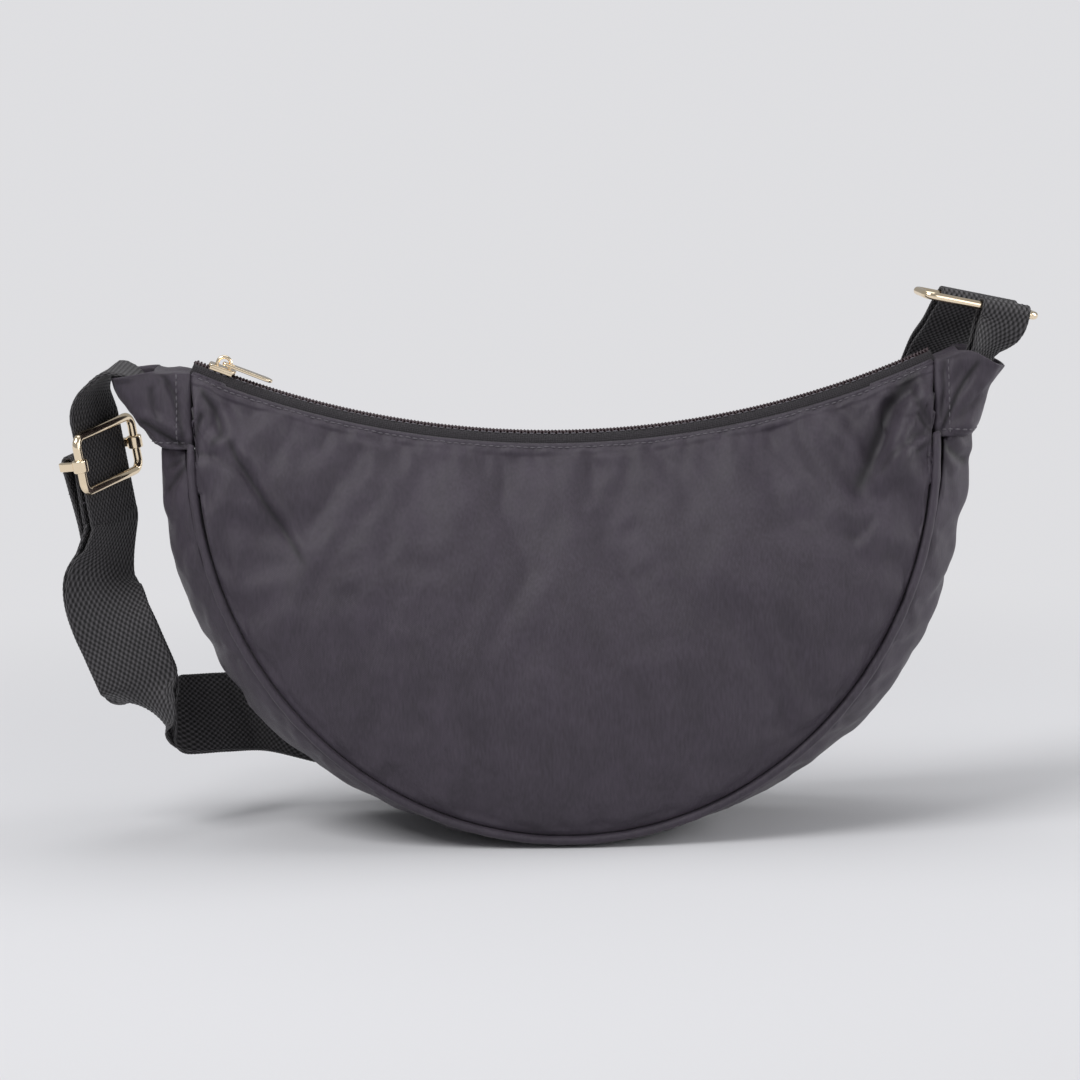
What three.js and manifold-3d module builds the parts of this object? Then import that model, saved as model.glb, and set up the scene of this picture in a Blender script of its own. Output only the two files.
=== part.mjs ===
// Half-moon bum bag with a top zip, end tabs and an adjustable webbing strap.
// Millimetres, +Z up, front face towards -Y, origin on the floor under the middle of the base.
import * as THREE from 'three';
import { mergeVertices } from 'three/addons/utils/BufferGeometryUtils.js';
import Module from 'manifold-3d';

const wasm = await Module();
wasm.setup();

// Bag body: the seam between panel and gusset is a half ellipse, the zip is an arc that dips
const SEAM_HALF_WIDTH = 144;
const SEAM_END_Z = 155;
const SEAM_BOTTOM_Z = 3;
const BOTTOM_HALF_DEPTH = 38;
const END_HALF_DEPTH = 17;
const PANEL_BULGE = 17;
const PANEL_END_EASE = 0.02;
const PANEL_FULLNESS = 0.6;
const SEAM_SWELL = 0.7;
const GUSSET_SIDE_BULGE = 15;
const GUSSET_BOTTOM_BULGE = 7;
const GUSSET_END_BULGE = 3;
const GUSSET_SHOULDER = [-0.02, 0.15];
const GUSSET_BASE = [0.6, 1];
const BASE_FACET_SHIFT = 0.05;
const CLOTH = 1;
const LINING = 0.6;
const PIPING_RADIUS = 1.7;

// How finely the cloth is divided
const PANEL_STEPS = [24, 7];
const GUSSET_STEPS = [33, 7];
const PIPING_STEPS = 48;
const ZIP_STEPS = 44;

// Clearances, and how far a cut runs past what it cuts
const GAP = 0.35;
const CUT_PAST = 1;
const LINING_GAP = 0.9;
const LINING_MARGIN = 4.6;

// Zip
const ZIP_END_INSET = 1;
const ZIP_DIP = 30;
const ZIP_SEAM_HALF = 7;
const TAPE_THICKNESS = 0.7;
const TAPE_EDGE_INSET = 0.8;
const COIL_WIDTH = 1.9;
const COIL_HEIGHT = 2.2;
const COIL_HALF_GAP = 0.15;
const COIL_SPREAD = 1.1;
const COIL_CLOSING = [-1, 4];

// Zip slider and pull
const SLIDER_FROM_END = 10;
const SLIDER_LENGTH = 11;
const SLIDER_WIDTH = 9;
const SLIDER_PLATE = 1.3;
const SLIDER_FLANGE = 0.9;
const POST_LENGTH = 1.8;
const POST_WIDTH = 1.6;
const POST_FROM_END = 1.3;
const BRIDGE_WIDTH = 1.6;
const BRIDGE_INNER_RADIUS = 2;
const BRIDGE_OUTER_RADIUS = 3.2;
const BRIDGE_LIFT = 1.4;
const PULL_LENGTH = 20;
const PULL_WIDTH = 6.5;
const PULL_THICKNESS = 1.2;
const PULL_EYE_BAR = 0.6;
const PULL_EYE_RADIUS = 4.2;
const PULL_EYE_WIDTH = 2.8;

// End tabs
const TAB_HEIGHT = 32;
const LEFT_TAB_REACH = 26;
const RIGHT_TAB_REACH = 29;
const LEFT_MOUTH_FALL = 13;
const RIGHT_MOUTH_FALL = 6;
const TAB_MOUTH_PLAY = 2;
const TAB_FOOT_REACH = 9;
const TAB_FLARE = [-0.2, 0.9];
const TAB_SQUARENESS = 0.6;
const TAB_SWELL = 1;
const MOUTH_MIDDLE = 0.7;
const MOUTH_RISE = 4;

// Webbing
const WEB_WIDTH = 32;
const WEB_THICKNESS = 1.8;
const WEB_LAYER_STEP = 3.5;
const WEB_STEPS = 5;
const FOLD_OPENING = [0.85, 1];

// Adjuster
const RAIL_RADIUS = 1.7;
const BAR_RADIUS = 1.5;
const FRAME_LENGTH = 21.6;
const FRAME_CORNER = 4;
const COLLAR_WALL = 1;
const COLLAR_LENGTH = 5;
const COLLAR_PLAY = 0.3;
const LEG_WIDTH = 2.4;
const LEG_STEP = 0.3;
const WEB_SIDE_PLAY = 0.5;
const LOOP_TAIL = 24;
const LOOP_NIP = 0.6;
const ADJUSTER_FROM_LIP = new THREE.Vector3(-8, 0, -35);
const ADJUSTER_ACROSS = new THREE.Vector3(0.449, 0.883, 0.14);
const ADJUSTER_DOWN = new THREE.Vector3(0.15, 0.06, -0.98);

// Ring and its keeper
const RING_RADIUS = 1.6;
const RING_SHORT = 16;
const RING_CORNER = 3.5;
const RING_FREE = 9;
const RING_LEAN = THREE.MathUtils.degToRad(88);
const RING_FROM_TAB = new THREE.Vector3(17.4, 2.8, 17.8);
const RING_ACROSS = new THREE.Vector3(0.95, 0.2, -0.22);
const FOLD_LEAN = THREE.MathUtils.degToRad(45);
const ROLL_RADIUS = 8;
const ROLL_AXIS = new THREE.Vector3(0.8, 0, -0.6);
const ROLL_START = new THREE.Vector3(-169, -3, 62);
const ROLL_ANGLE = THREE.MathUtils.degToRad(42);
const ROLL_TURNS = [0, 50, 100, 150];
const KEEPER_WIDTH = 20;
const KEEPER_LIFT = 2;
const KEEPER_REACH = 0.62;
const KEEPER_STRAIGHT = 5;
const KEEPER_ACROSS = new THREE.Vector3(0.6, 0.8, 0);

// Values that follow from the sizes above
const seamRise = SEAM_END_Z - SEAM_BOTTOM_Z;
const tabTopZ = SEAM_END_Z + TAB_HEIGHT;
const zipHalfChord = SEAM_HALF_WIDTH - ZIP_END_INSET;
const zipRadius = (zipHalfChord ** 2 + ZIP_DIP ** 2) / (2 * ZIP_DIP);
const zipCentreZ = tabTopZ - ZIP_DIP + zipRadius;
const zipEndAngle = Math.asin(zipHalfChord / zipRadius);
const sliderAngle = Math.asin((SLIDER_FROM_END - zipHalfChord) / zipRadius);
const coilOuter = COIL_HALF_GAP + COIL_WIDTH;
const plateBottom = COIL_HEIGHT / 2 + GAP;
const plateTop = plateBottom + SLIDER_PLATE;
const pullHeight = plateTop + BRIDGE_LIFT;
const seamClear = PIPING_RADIUS + GAP;
const railSpan = WEB_WIDTH + 2 * (WEB_SIDE_PLAY + RAIL_RADIUS + COLLAR_PLAY + COLLAR_WALL);
const runDepth = RAIL_RADIUS + GAP + WEB_THICKNESS / 2;
const wrapRadius = BAR_RADIUS + GAP + WEB_THICKNESS / 2;
const barDepth = runDepth + WEB_THICKNESS + 2 * GAP + wrapRadius;
const ringWrap = RING_RADIUS + GAP + WEB_THICKNESS / 2;
const ringSpan = WEB_WIDTH + RING_FREE + 2 * (WEB_SIDE_PLAY + RING_RADIUS);
const foldShift = ringSpan / 2 - RING_CORNER - WEB_WIDTH / 2;
const keeperShift = ringSpan / 2 - RING_CORNER - KEEPER_WIDTH / 2;
const ringCentre = new THREE.Vector3(SEAM_HALF_WIDTH, 0, tabTopZ).add(RING_FROM_TAB);
const leftLip = new THREE.Vector3(-SEAM_HALF_WIDTH - LEFT_TAB_REACH, 0, tabTopZ);
const adjusterCentre = leftLip.clone().add(ADJUSTER_FROM_LIP);

const bag = new THREE.Group();
const vec = (x, y, z) => new THREE.Vector3(x, y, z);
const smooth = ([low, high], value) => THREE.MathUtils.smoothstep(value, low, high);

// Materials, one for each kind of surface
const paint = (color, roughness, metalness) => () =>
  new THREE.MeshStandardMaterial({ color, roughness, metalness });
const clothPaint = paint(0x2f2d38, 0.75, 0);
const liningPaint = paint(0x26252b, 0.8, 0);
const webPaint = paint(0x1b1d20, 0.9, 0);
const tapePaint = paint(0x221f27, 0.85, 0);
const coilPaint = paint(0x2b2028, 0.5, 0);
const goldPaint = paint(0xe6c9a0, 0.2, 1);

function addPart(name, geometry, makePaint, parent = bag) {
  const mesh = new THREE.Mesh(geometry, makePaint());
  mesh.name = name;
  parent.add(mesh);
  return mesh;
}

// A closed body from points and triangles, turned so that its faces point out
function body(points, triangles) {
  let volume = 0;
  for (const [a, b, c] of triangles) {
    volume += points[a].dot(points[b].clone().cross(points[c]));
  }
  const faces = volume < 0 ? triangles.map(([a, b, c]) => [a, c, b]) : triangles;
  const geometry = new THREE.BufferGeometry();
  const places = points.flatMap((point) => point.toArray());
  geometry.setAttribute('position', new THREE.Float32BufferAttribute(places, 3));
  geometry.setIndex(faces.flat());
  geometry.computeVertexNormals();
  return geometry;
}

// A body through rings of points, either closed on itself or capped at both ends
function loft(rings, closed = false) {
  const around = rings[0].length;
  const points = rings.flat();
  const triangles = [];
  const last = closed ? rings.length : rings.length - 1;
  for (let i = 0; i < last; i += 1) {
    const next = (i + 1) % rings.length;
    for (let j = 0; j < around; j += 1) {
      const k = (j + 1) % around;
      triangles.push([i * around + j, next * around + j, next * around + k]);
      triangles.push([i * around + j, next * around + k, i * around + k]);
    }
  }
  if (!closed) {
    const end = (rings.length - 1) * around;
    for (let j = 1; j < around - 1; j += 1) {
      triangles.push([0, j, j + 1]);
      triangles.push([end, end + j + 1, end + j]);
    }
  }
  return body(points, triangles);
}

// A thin sheet between two grids of points, closed round its rim
function sheet(outer, inner) {
  const rows = outer.length;
  const columns = outer[0].length;
  const points = [...outer.flat(), ...inner.flat()];
  const far = rows * columns;
  const at = (i, j) => i * columns + j;
  const triangles = [];
  for (let i = 0; i < rows - 1; i += 1) {
    for (let j = 0; j < columns - 1; j += 1) {
      const [a, b, c, d] = [at(i, j), at(i + 1, j), at(i + 1, j + 1), at(i, j + 1)];
      triangles.push([a, b, c], [a, c, d]);
      triangles.push([far + a, far + c, far + b], [far + a, far + d, far + c]);
    }
  }
  const rim = [];
  for (let i = 0; i < rows - 1; i += 1) rim.push(at(i, 0));
  for (let j = 0; j < columns - 1; j += 1) rim.push(at(rows - 1, j));
  for (let i = rows - 1; i > 0; i -= 1) rim.push(at(i, columns - 1));
  for (let j = columns - 1; j > 0; j -= 1) rim.push(at(0, j));
  rim.forEach((a, index) => {
    const b = rim[(index + 1) % rim.length];
    triangles.push([a, far + a, b], [b, far + a, far + b]);
  });
  return body(points, triangles);
}

// The grid moved along its own normals; outward is the side that faces away from the bag's middle
function shifted(grid, distance) {
  const middle = vec(0, 0, SEAM_END_Z / 2);
  return grid.map((row, i) => row.map((point, j) => {
    const before = grid[Math.max(i - 1, 0)][j];
    const after = grid[Math.min(i + 1, grid.length - 1)][j];
    const along = after.clone().sub(before);
    const across = row[Math.min(j + 1, row.length - 1)].clone().sub(row[Math.max(j - 1, 0)]);
    const normal = along.cross(across).normalize();
    if (normal.dot(point.clone().sub(middle)) < 0) normal.negate();
    return point.clone().addScaledVector(normal, distance);
  }));
}

function grid(rows, columns, place) {
  return Array.from({ length: rows + 1 }, (_, i) =>
    Array.from({ length: columns + 1 }, (_unused, j) => place(i / rows, j / columns)));
}

// A strip or rod: the same flat section carried along frames of centre, side and up
function carry(frames, section, closed = false) {
  return loft(frames.map(({ centre, side, up }) => section.map(([a, b]) =>
    centre.clone().addScaledVector(side, a).addScaledVector(up, b))), closed);
}

const rectangle = (low, high, bottom, top) => [[low, bottom], [high, bottom], [high, top], [low, top]];
const round = (radius, sides) => Array.from({ length: sides }, (_, i) => {
  const angle = (2 * Math.PI * i) / sides;
  return [radius * Math.cos(angle), radius * Math.sin(angle)];
});

// Booleans on closed bodies
function solid(geometry) {
  const plain = geometry.clone();
  plain.deleteAttribute('normal');
  plain.deleteAttribute('uv');
  const merged = mergeVertices(plain);
  return new wasm.Manifold(new wasm.Mesh({
    numProp: 3,
    vertProperties: new Float32Array(merged.attributes.position.array),
    triVerts: new Uint32Array(merged.index.array),
  }));
}

function fromSolid(shape) {
  const mesh = shape.getMesh();
  const geometry = new THREE.BufferGeometry();
  geometry.setAttribute('position', new THREE.BufferAttribute(mesh.vertProperties, 3));
  geometry.setIndex(new THREE.BufferAttribute(mesh.triVerts, 1));
  geometry.computeVertexNormals();
  return geometry;
}

const box = (x0, x1, y0, y1, z0, z1) => solid(new THREE.BoxGeometry(x1 - x0, y1 - y0, z1 - z0)
  .translate((x0 + x1) / 2, (y0 + y1) / 2, (z0 + z1) / 2));

// A plate of one outline, as thick on either side of its plane
function flatPlate(outline, thickness) {
  const plate = new THREE.ExtrudeGeometry(outline, {
    depth: thickness,
    bevelEnabled: false,
    curveSegments: 10,
  });
  return plate.translate(0, 0, -thickness / 2);
}

// Points of the bag's surfaces
function seamHalfDepth(angle) {
  const low = Math.max(-Math.sin(angle), 0);
  return THREE.MathUtils.lerp(END_HALF_DEPTH, BOTTOM_HALF_DEPTH, low ** SEAM_SWELL);
}

function seamPoint(angle, inset = 0) {
  const x = (SEAM_HALF_WIDTH - inset) * Math.cos(angle);
  return vec(x, 0, SEAM_END_Z + (seamRise - inset) * Math.sin(angle));
}

function zipPoint(angle, y, lift) {
  const radius = zipRadius - lift;
  return vec(radius * Math.sin(angle), y, zipCentreZ - radius * Math.cos(angle));
}

// Panel: side -1 is the front and +1 the back; across goes left to right, down from zip to seam
function panelPoint(side, across, down, margin) {
  const seamAngle = Math.PI * (1 + across);
  const top = zipPoint(zipEndAngle * (2 * across - 1), side * ZIP_SEAM_HALF, 0);
  const bottom = seamPoint(seamAngle, seamClear);
  bottom.y = side * (seamHalfDepth(seamAngle) + GAP);
  const trim = margin / top.distanceTo(bottom);
  const t = trim + down * (1 - 2 * trim);
  const point = top.lerp(bottom, t);
  const eased = THREE.MathUtils.lerp(PANEL_END_EASE, 1 - PANEL_END_EASE, across);
  const fullness = Math.sin(Math.PI * eased) ** PANEL_FULLNESS;
  point.y += side * PANEL_BULGE * 4 * t * (1 - t) * fullness;
  return point;
}

// Gusset: along goes left to right under the bag, across goes front to back
function gussetPoint(along, across, margin) {
  const angle = Math.PI * (1 + along);
  const halfDepth = seamHalfDepth(angle);
  const v = (2 * across - 1) * (1 - (seamClear + margin) / halfDepth);
  const low = -Math.sin(angle);
  const shoulder = THREE.MathUtils.lerp(GUSSET_END_BULGE, GUSSET_SIDE_BULGE, smooth(GUSSET_SHOULDER, low));
  const bulge = THREE.MathUtils.lerp(shoulder, GUSSET_BOTTOM_BULGE, smooth(GUSSET_BASE, low));
  const out = vec(Math.cos(angle) / SEAM_HALF_WIDTH, 0, Math.sin(angle) / seamRise).normalize();
  const point = seamPoint(angle).addScaledVector(out, bulge * (1 - v * v));
  point.y = halfDepth * v;
  point.z = Math.max(point.z, CLOTH / 2);
  return point;
}

// The rows across the gusset are a little uneven, so that the base has a facet under its middle
const unevenly = (v) => v + BASE_FACET_SHIFT * Math.sin(Math.PI * v);

function addBody() {
  for (const [name, side] of [['front', -1], ['back', 1]]) {
    const cloth = grid(...PANEL_STEPS, (a, d) => panelPoint(side, a, d, 0));
    addPart(`${name}_panel`, sheet(shifted(cloth, CLOTH / 2), shifted(cloth, -CLOTH / 2)), clothPaint);
    const inside = grid(...PANEL_STEPS, (a, d) => panelPoint(side, a, d, LINING_MARGIN));
    const start = -(CLOTH / 2 + LINING_GAP);
    addPart(`${name}_lining`, sheet(shifted(inside, start), shifted(inside, start - LINING)), liningPaint);
    const frames = Array.from({ length: PIPING_STEPS + 1 }, (_, i) => {
      const angle = Math.PI * (1 + i / PIPING_STEPS);
      const centre = seamPoint(angle);
      centre.y = side * seamHalfDepth(angle);
      const up = vec(Math.cos(angle) / SEAM_HALF_WIDTH, 0, Math.sin(angle) / seamRise).normalize();
      return { centre, side: vec(0, 1, 0), up };
    });
    addPart(`${name}_piping`, carry(frames, round(PIPING_RADIUS, 8)), clothPaint);
  }
  const strip = grid(...GUSSET_STEPS, (a, v) => gussetPoint(a, unevenly(v), 0));
  addPart('gusset', sheet(shifted(strip, CLOTH / 2), shifted(strip, -CLOTH / 2)), clothPaint);
  const inside = grid(...GUSSET_STEPS, (a, v) => gussetPoint(a, unevenly(v), LINING_MARGIN));
  const start = -(CLOTH / 2 + LINING_GAP);
  addPart('gusset_lining', sheet(shifted(inside, start), shifted(inside, start - LINING)), liningPaint);
}

// Zip: tape and coil halves part round the slider's post at the closed end
function zipStrip(side, low, high, follows, bottom, top) {
  const rings = Array.from({ length: ZIP_STEPS + 1 }, (_, i) => {
    const angle = zipEndAngle * ((2 * i) / ZIP_STEPS - 1);
    const distance = zipRadius * (angle - sliderAngle);
    const spread = COIL_SPREAD * (1 - smooth(COIL_CLOSING, distance));
    const [a, b] = [low + spread, high + (follows ? spread : 0)];
    return rectangle(a, b, bottom, top).map(([y, lift]) => zipPoint(angle, side * y, lift));
  });
  return loft(rings);
}

function addZip() {
  for (const [name, side] of [['front', -1], ['back', 1]]) {
    const tapeInner = coilOuter + GAP;
    const tapeOuter = ZIP_SEAM_HALF - TAPE_EDGE_INSET;
    const half = TAPE_THICKNESS / 2;
    addPart(`zip_tape_${name}`, zipStrip(side, tapeInner, tapeOuter, false, -half, half), tapePaint);
    const tall = COIL_HEIGHT / 2;
    addPart(`zip_coil_${name}`, zipStrip(side, COIL_HALF_GAP, coilOuter, true, -tall, tall), coilPaint);
  }
}

function sliderShape() {
  const [l, w] = [SLIDER_LENGTH / 2, SLIDER_WIDTH / 2];
  const flangeBottom = TAPE_THICKNESS / 2 + GAP;
  const postLeft = -l + POST_FROM_END;
  let shape = box(-l, l, -w, w, plateBottom, plateTop);
  shape = shape.add(box(-l, l, -w, w, -plateTop, -plateBottom));
  for (const side of [-1, 1]) {
    const edge = [side * w, side * (w - SLIDER_FLANGE)].sort((a, b) => a - b);
    shape = shape.add(box(-l, l, ...edge, flangeBottom, plateTop));
    shape = shape.add(box(-l, l, ...edge, -plateTop, -flangeBottom));
  }
  const postHalf = POST_WIDTH / 2;
  shape = shape.add(box(postLeft, postLeft + POST_LENGTH, -postHalf, postHalf, -plateTop, plateTop));
  const foot = -BRIDGE_LIFT - SLIDER_PLATE / 2;
  const arch = new THREE.Shape();
  arch.moveTo(BRIDGE_OUTER_RADIUS, foot);
  arch.lineTo(BRIDGE_OUTER_RADIUS, 0);
  arch.absarc(0, 0, BRIDGE_OUTER_RADIUS, 0, Math.PI, false);
  arch.lineTo(-BRIDGE_OUTER_RADIUS, foot);
  arch.lineTo(-BRIDGE_INNER_RADIUS, foot);
  arch.lineTo(-BRIDGE_INNER_RADIUS, 0);
  arch.absarc(0, 0, BRIDGE_INNER_RADIUS, Math.PI, 0, true);
  arch.lineTo(BRIDGE_INNER_RADIUS, foot);
  const bridge = flatPlate(arch, BRIDGE_WIDTH);
  bridge.rotateX(Math.PI / 2).translate(0, 0, pullHeight);
  return fromSolid(shape.add(solid(bridge)));
}

function pullShape() {
  const outline = new THREE.Shape();
  const half = PULL_WIDTH / 2;
  const start = -PULL_EYE_BAR;
  outline.moveTo(start, -half);
  outline.lineTo(PULL_LENGTH - half, -half);
  outline.absarc(PULL_LENGTH - half, 0, half, -Math.PI / 2, Math.PI / 2, false);
  outline.lineTo(start, half);
  const eye = new THREE.Path();
  eye.moveTo(PULL_EYE_BAR, -PULL_EYE_WIDTH / 2);
  eye.lineTo(PULL_EYE_BAR, PULL_EYE_WIDTH / 2);
  eye.lineTo(PULL_EYE_RADIUS, PULL_EYE_WIDTH / 2);
  eye.lineTo(PULL_EYE_RADIUS, -PULL_EYE_WIDTH / 2);
  outline.holes.push(eye);
  return flatPlate(outline, PULL_THICKNESS);
}

function addSlider() {
  const carriage = new THREE.Group();
  carriage.position.set(0, 0, zipCentreZ);
  carriage.rotation.y = -sliderAngle;
  bag.add(carriage);
  addPart('zip_slider', sliderShape(), goldPaint, carriage).position.z = -zipRadius;
  addPart('zip_pull', pullShape(), goldPaint, carriage).position.z = -zipRadius + pullHeight;
}

const mouthFall = (side) => (side < 0 ? LEFT_MOUTH_FALL : RIGHT_MOUTH_FALL);
const tabReach = (side) => (side < 0 ? LEFT_TAB_REACH : RIGHT_TAB_REACH);

// End tab: gathered cloth that closes the end of the bag and opens to a sloping mouth for the webbing
function tabShape(side) {
  const steps = 8;
  const around = 16;
  const base = SEAM_END_Z + GAP;
  const inner = SEAM_HALF_WIDTH + GAP;
  const rounded = (value) => Math.sign(value) * Math.abs(value) ** TAB_SQUARENESS;
  const rings = Array.from({ length: steps + 1 }, (_, i) => {
    const t = i / steps;
    const outer = inner + THREE.MathUtils.lerp(TAB_FOOT_REACH, tabReach(side), smooth(TAB_FLARE, t));
    const swell = TAB_SWELL * Math.sin(Math.PI * t);
    const innerHalf = THREE.MathUtils.lerp(END_HALF_DEPTH, ZIP_SEAM_HALF, t) + swell;
    const outerHalf = THREE.MathUtils.lerp(END_HALF_DEPTH, WEB_WIDTH / 2 + TAB_MOUTH_PLAY, t);
    return Array.from({ length: around }, (_unused, j) => {
      const angle = (2 * Math.PI * j) / around;
      const reach = (1 + rounded(Math.cos(angle))) / 2;
      const half = THREE.MathUtils.lerp(innerHalf, outerHalf, reach);
      const x = THREE.MathUtils.lerp(inner, outer, reach);
      const top = tabTopZ - mouthFall(side) * reach;
      return vec(side * x, half * rounded(Math.sin(angle)), THREE.MathUtils.lerp(base, top, t));
    });
  });
  return loft(rings);
}

// A point over the mouth of a tab; reach goes from the bag side to the outer side
function mouthPoint(side, reach, lift) {
  const fall = mouthFall(side);
  const square = vec(fall, 0, tabReach(side)).normalize();
  const x = SEAM_HALF_WIDTH + GAP + tabReach(side) * reach + square.x * lift;
  return vec(side * x, 0, tabTopZ - fall * reach + square.z * lift);
}

// Webbing: stations along the strap, each with its place and the direction across its width
const adjusterDown = ADJUSTER_DOWN.clone().normalize();
const adjusterOut = adjusterDown.clone().cross(ADJUSTER_ACROSS).normalize();
const adjusterAcross = adjusterOut.clone().cross(adjusterDown).normalize();
const adjusterPoint = (across, down, inward) => adjusterCentre.clone()
  .addScaledVector(adjusterAcross, across)
  .addScaledVector(adjusterDown, down)
  .addScaledVector(adjusterOut, -inward);

const ringAcross = RING_ACROSS.clone().normalize();
const levelBack = vec(0, 0, 1).cross(ringAcross).normalize();
const levelUp = ringAcross.clone().cross(levelBack);
const leaning = (angle) => levelUp.clone()
  .multiplyScalar(Math.cos(angle))
  .addScaledVector(levelBack, Math.sin(angle));
const ringUp = leaning(RING_LEAN);
const foldUp = leaning(FOLD_LEAN);
const foldBack = foldUp.clone().cross(ringAcross);
const ringPoint = (across, up) => ringCentre.clone()
  .addScaledVector(ringAcross, across)
  .addScaledVector(ringUp, up);
const strapBar = ringPoint(foldShift, RING_SHORT / 2);
const keeperBar = ringPoint(keeperShift, -RING_SHORT / 2);

const station = (x, y, z, across) => ({ at: vec(x, y, z), across: vec(...across) });
const lipStation = (x, y, z, across) => ({ at: leftLip.clone().add(vec(x, y, z)), across: vec(...across) });
const adjusterStation = (down) => ({ at: adjusterPoint(0, down, runDepth), across: adjusterAcross });

const ARCH = [
  { at: mouthPoint(-1, MOUTH_MIDDLE, GAP), across: vec(0, 1, 0) },
  { at: mouthPoint(-1, MOUTH_MIDDLE, MOUTH_RISE), across: vec(0, 1, 0) },
  lipStation(-4.5, 0.3, -1.5, [0.12, 0.99, 0.05]),
  lipStation(-11.5, 0.5, -9, [0.28, 0.95, 0.1]),
];
const STRAIGHT = [-17, -13, 0, 14, 20].map(adjusterStation);
// Where its run turns the corner the webbing rolls backwards over a slanting line
const rollDown = vec(0, 1, 0).cross(ROLL_AXIS).normalize();
function rollStation(turn) {
  const around = rollDown.clone().multiplyScalar(Math.cos(turn)).addScaledVector(vec(0, 1, 0), Math.sin(turn));
  const at = ROLL_START.clone()
    .addScaledVector(rollDown, ROLL_RADIUS * Math.sin(turn))
    .addScaledVector(vec(0, 1, 0), ROLL_RADIUS * (1 - Math.cos(turn)))
    .addScaledVector(ROLL_AXIS, (ROLL_RADIUS * turn) / Math.tan(ROLL_ANGLE));
  const width = ROLL_AXIS.clone().multiplyScalar(Math.sin(ROLL_ANGLE));
  return { at, across: width.addScaledVector(around, -Math.cos(ROLL_ANGLE)) };
}

const BACK = [
  adjusterStation(LOOP_TAIL + GAP),
  adjusterStation(LOOP_TAIL + WEB_LAYER_STEP),
  station(-179, 1.4, 111.5, [0.54, 0.83, 0.13]),
  station(-181.3, -1, 101.5, [0.84, 0.52, 0.12]),
  station(-179.6, -2.8, 90, [0.96, 0.2, 0.17]),
  station(-174.8, -3.5, 77, [0.97, 0, 0.2]),
  ...ROLL_TURNS.map(THREE.MathUtils.degToRad).map(rollStation),
  station(-140, 24, 43, [0.1, -0.4, -0.9]),
  station(-121, 42, 39.5, [0, -0.25, -0.96]),
  station(-92, 53, 30, [-0.1, -0.18, -0.98]),
  station(-50, 56, 22, [-0.03, -0.1, -1]),
  station(0, 56.5, 18, [0, -0.05, -1]),
  station(48, 56, 21, [0.08, -0.05, -1]),
  station(88, 54.5, 37, [0.45, -0.05, -0.88]),
  station(116, 52.5, 66, [0.8, -0.05, -0.58]),
  station(133, 49.5, 104, [0.95, -0.05, -0.3]),
  station(143, 45.5, 142, [0.98, -0.1, -0.18]),
  station(148, 43.5, 165, [1, 0, -0.15]),
  station(153, 36.5, 184, [0.95, 0.25, -0.2]),
];
const ringStation = (back, up) => ({
  at: strapBar.clone().addScaledVector(foldBack, back).addScaledVector(foldUp, up),
  across: ringAcross,
});
const RISE = [ringStation(17, 2), ringStation(8, ringWrap), ringStation(GAP, ringWrap)];

// Frames along a run of stations, with the same number of steps between each two
function webFrames(stations, stepsEach = WEB_STEPS) {
  const route = new THREE.CatmullRomCurve3(stations.map((s) => s.at), false, 'centripetal');
  const turn = new THREE.CatmullRomCurve3(stations.map((s) => s.across), false, 'centripetal');
  const steps = stepsEach * (stations.length - 1);
  return Array.from({ length: steps + 1 }, (_, i) => {
    const tangent = route.getTangent(i / steps);
    const side = turn.getPoint(i / steps);
    side.addScaledVector(tangent, -side.dot(tangent)).normalize();
    return { centre: route.getPoint(i / steps), side, up: tangent.clone().cross(side) };
  });
}

// The same frames moved off the run's middle by a depth that may change along them
function layerFrames(frames, depth) {
  return frames.map(({ centre, side, up }, i) => {
    const moved = centre.clone().addScaledVector(up, -depth(i / (frames.length - 1)));
    return { centre: moved, side, up };
  });
}

const ribbon = (width) => rectangle(-width / 2, width / 2, -WEB_THICKNESS / 2, WEB_THICKNESS / 2);
const webSection = ribbon(WEB_WIDTH);
const flatWeb = (stations, stepsEach) => carry(webFrames(stations, stepsEach), webSection);

// Half a turn of points round a bar, from one side over to the other
function wrap(centre, radius, from, over, turns) {
  return Array.from({ length: turns + 1 }, (_, i) => {
    const angle = (Math.PI * i) / turns;
    return centre.clone()
      .addScaledVector(from, radius * Math.cos(angle))
      .addScaledVector(over, radius * Math.sin(angle));
  });
}

const across = (direction) => (at) => ({ at, across: direction });

function addStrap() {
  const whole = webFrames([...ARCH, ...STRAIGHT, ...BACK, ...RISE]);
  addPart('strap_run', carry(whole, webSection), webPaint);
  const back = whole.slice(WEB_STEPS * (ARCH.length + STRAIGHT.length));
  const widen = (t) => THREE.MathUtils.lerp(WEB_LAYER_STEP, 2 * ringWrap, smooth(FOLD_OPENING, t));
  addPart('strap_return', carry(layerFrames(back, widen), webSection), webPaint);
  const front = foldBack.clone().negate();
  const fold = wrap(strapBar, ringWrap, foldUp, front, 10).map(across(ringAcross));
  addPart('strap_fold', flatWeb(fold, 2), webPaint);
  const barCentre = adjusterPoint(0, 0, barDepth);
  const loop = [
    adjusterPoint(0, LOOP_TAIL, runDepth + WEB_LAYER_STEP),
    adjusterPoint(0, LOOP_TAIL / 3, runDepth + WEB_LAYER_STEP - LOOP_NIP),
    ...wrap(barCentre, wrapRadius, adjusterOut, adjusterDown.clone().negate(), 8),
    adjusterPoint(0, LOOP_TAIL / 3, barDepth + wrapRadius - LOOP_NIP),
    adjusterPoint(0, LOOP_TAIL, runDepth + WEB_LAYER_STEP + WEB_THICKNESS + 2 * GAP),
  ];
  addPart('strap_end_loop', flatWeb(loop.map(across(adjusterAcross)), 3), webPaint);
}

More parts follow.
